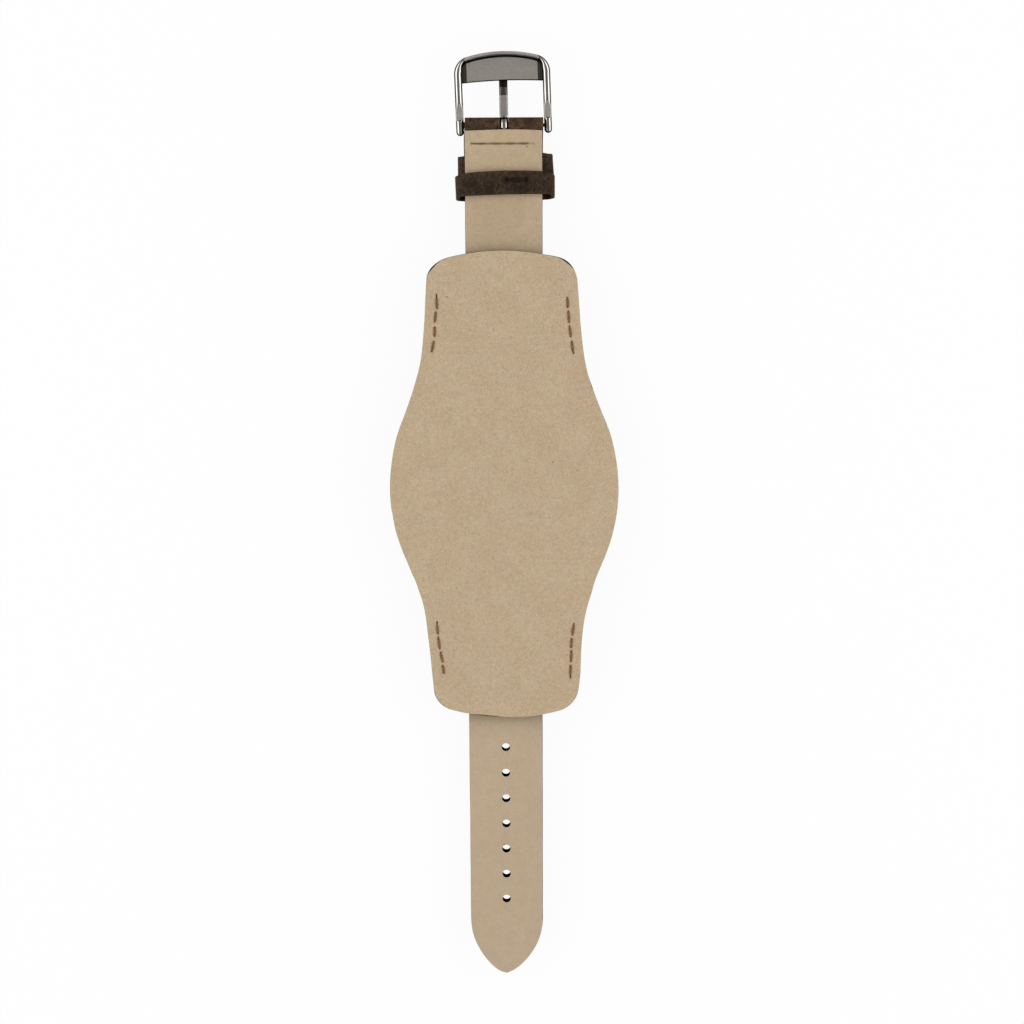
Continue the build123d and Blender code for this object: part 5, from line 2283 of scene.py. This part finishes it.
    def grind_tongue(self, work: Workpiece) -> None:
        """Grinds the tongue's long flat, crowns its rolled end, and shades its far end.

        Args:
            work: The tongue.
        """
        work.mesh.normal_update()
        start, end = self.flat_start, self.flat_end
        for face in work.mesh.faces:
            y = face.calc_center_median().y
            if y > end:
                face.material_index = 3 if y > self.shade_end else 2
            elif y > start and face.normal.z > -0.3:
                face.material_index = 1
        join = self.tongue_join()
        slope = (self.tongue_level - join.y) / (self.tongue_bend - join.x)
        for vert in work.mesh.verts:
            x, y, z = vert.co
            if start - 0.3 < y < end + 0.3:
                ease = smooth(y, start - 0.3, start + 0.5) * (1 - smooth(y, end - 0.5, end + 0.3))
                vert.co.z = min(z, join.y + slope * (y - join.x) + self.tongue_thickness / 2 - 0.19 * ease)
            out = Vector((0, y - self.bar_y, vert.co.z - self.bar_z))
            if y < start and out.length > self.loop_radius and vert.co.z > self.bar_z - 0.6:
                crown = self.loop_crown * (1 - abs(2 * x / self.tongue_width) ** 3) - 0.08
                vert.co += out.normalized() * (crown * (1 - smooth(y, start - 0.8, start - 0.2)))

    def dress_bar(self) -> None:
        """Finishes the spring bar's own parts, which keep their CAD shapes, in a steel darkened with painted
        shade.
        """
        for name in ("spring_bar_barrel", "spring_bar_spring", "left_plunger", "right_plunger"):
            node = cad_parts[name]
            node.data.materials.clear()
            node.data.materials.append(SHADED_BAR_STEEL.material())
            log.info("%s: finished", name)

    def build(self) -> None:
        """Builds the frame and the tongue, and finishes the spring bar."""
        self.build_frame()
        self.build_plate()
        self.build_tongue()
        self.dress_bar()


# The studio


@dataclass
class Studio:
    """The camera, lamps, world and floor."""

    camera_place: tuple[float, float, float] = (1.81, 79.1, 420.2)
    camera_tilt: float = -11.35
    camera_roll: float = -0.3
    lens: float = 63.28
    floor_level: float = -8.96
    floor_reach: float = 1500.0
    lamp_place: tuple[float, float, float] = (430.0, 20.0, 270.0)
    lamp_size: tuple[float, float] = (760.0, 260.0)
    side_power: float = 0.9
    world_level: float = 0.78
    strip_soft: float = 0.06
    core_edges: tuple[float, float] = (0.22, 0.1)
    core_tone: tuple[float, float, float, float] = (0.05, 0.05, 0.05, 1)
    floor_tone: tuple[float, float, float, float] = (0.86, 0.86, 0.86, 1)
    floor_shine: float = 0.93
    strip_reach: float = 0.62
    strip_tone: tuple[float, float, float, float] = (0.33, 0.33, 0.33, 1.0)

    def place_camera(self) -> None:
        """Puts the camera where the photograph was taken from."""
        data = bpy.data.cameras.new("camera")
        data.lens = self.lens
        data.sensor_width = 36.0
        data.clip_start, data.clip_end = 0.01, 50.0
        camera = bpy.data.objects.new("camera", data)
        tilt = Matrix.Rotation(math.radians(self.camera_tilt), 4, "X")
        roll = Matrix.Rotation(math.radians(self.camera_roll), 4, "Z")
        camera.matrix_world = Matrix.Translation(Vector(self.camera_place) * MM) @ tilt @ roll
        bpy.context.scene.collection.objects.link(camera)
        bpy.context.scene.camera = camera

    def add_lamp(self, name: str, side: int) -> None:
        """Adds a soft box that looks at the strap's middle.

        Args:
            name: Its name.
            side: -1 for the left, +1 for the right.
        """
        data = bpy.data.lights.new(name, "AREA")
        data.shape = "RECTANGLE"
        data.size, data.size_y = self.lamp_size[0] * MM, self.lamp_size[1] * MM
        data.energy = self.side_power
        lamp = bpy.data.objects.new(name, data)
        x, y, z = self.lamp_place
        lamp.location = Vector((side * x, y, z)) * MM
        lamp.rotation_mode = "QUATERNION"
        lamp.rotation_quaternion = lamp.location.to_track_quat("Z", "Y")
        bpy.context.scene.collection.objects.link(lamp)

    def light(self) -> None:
        """Stands a soft box on each side, under a pale sky that steel mirrors with a dark strip overhead."""
        self.add_lamp("left_softbox", -1)
        self.add_lamp("right_softbox", 1)
        world = bpy.data.worlds.new("studio")
        bpy.context.scene.world = world
        world.use_nodes = True
        board = NodeBoard(world.node_tree)
        path = board.add("ShaderNodeLightPath").outputs
        way = board.add("ShaderNodeSeparateXYZ", {0: board.add("ShaderNodeTexCoord").outputs["Generated"]})
        aside = board.math("ABSOLUTE", way.outputs["X"], 0.0)
        strip = board.ramp(aside, self.strip_reach, self.strip_reach - self.strip_soft)
        shown = board.blend(strip, (1, 1, 1, 1), self.strip_tone)
        shown = board.blend(board.ramp(aside, *self.core_edges), shown, self.core_tone)
        colour = board.blend(path["Is Glossy Ray"], (self.world_level,) * 3 + (1,), shown)
        lit = board.add("ShaderNodeBackground", {"Color": colour, "Strength": 1.0})
        white = board.add("ShaderNodeBackground", {"Color": (1, 1, 1, 1), "Strength": 1.0})
        sides = {0: path["Is Camera Ray"], 1: lit.outputs[0], 2: white.outputs[0]}
        mixed = board.add("ShaderNodeMixShader", sides)
        board.add("ShaderNodeOutputWorld", {"Surface": mixed.outputs[0]})

    def lay_floor(self) -> None:
        """A pale floor that keeps a soft shadow and reads as white."""
        mesh = bmesh.new()
        bmesh.ops.create_grid(
            mesh, x_segments=1, y_segments=1, size=self.floor_reach * MM,
            matrix=Matrix.Translation((0, 0, self.floor_level * MM)),
        )
        data = bpy.data.meshes.new("floor")
        mesh.to_mesh(data)
        mesh.free()
        floor = bpy.data.objects.new("floor", data)
        bpy.context.scene.collection.objects.link(floor)
        paper = bpy.data.materials.new("paper floor")
        paper.use_nodes = True
        board = NodeBoard(paper.node_tree)
        path = board.add("ShaderNodeLightPath").outputs
        seen = board.math("MAXIMUM", path["Is Camera Ray"], path["Is Glossy Ray"])
        seen = board.math("MAXIMUM", seen, path["Is Transmission Ray"])
        matt = board.add("ShaderNodeBsdfDiffuse", {"Color": self.floor_tone})
        white = board.add("ShaderNodeEmission", {"Color": (1, 1, 1, 1), "Strength": 1.0})
        share = board.math("MULTIPLY", seen, self.floor_shine)
        mixed = board.add("ShaderNodeMixShader", {0: share, 1: matt.outputs[0], 2: white.outputs[0]})
        board.add("ShaderNodeOutputMaterial", {"Surface": mixed.outputs[0]})
        data.materials.append(paper)
        floor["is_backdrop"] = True

    def build(self) -> None:
        """Sets up the whole studio."""
        bpy.context.scene.view_settings.view_transform = "Standard"
        self.place_camera()
        self.light()
        self.lay_floor()


def corners() -> list[list[float]]:
    """The shown object's lowest and highest corner, as plain numbers."""
    return [[round(value, 6) for value in corner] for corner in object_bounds()]


def main() -> None:
    """Builds the studio and every sub-assembly, in order."""
    logging.basicConfig(level=logging.INFO, format="%(name)s: %(message)s")
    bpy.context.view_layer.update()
    Studio().build()
    Pad().build()
    BuckleStrap().build()
    TailStrap().build()
    Keepers().build()
    Buckle().build()
    bpy.context.view_layer.update()
    log.info("sizes written")


if __name__ == "__main__":
    main()
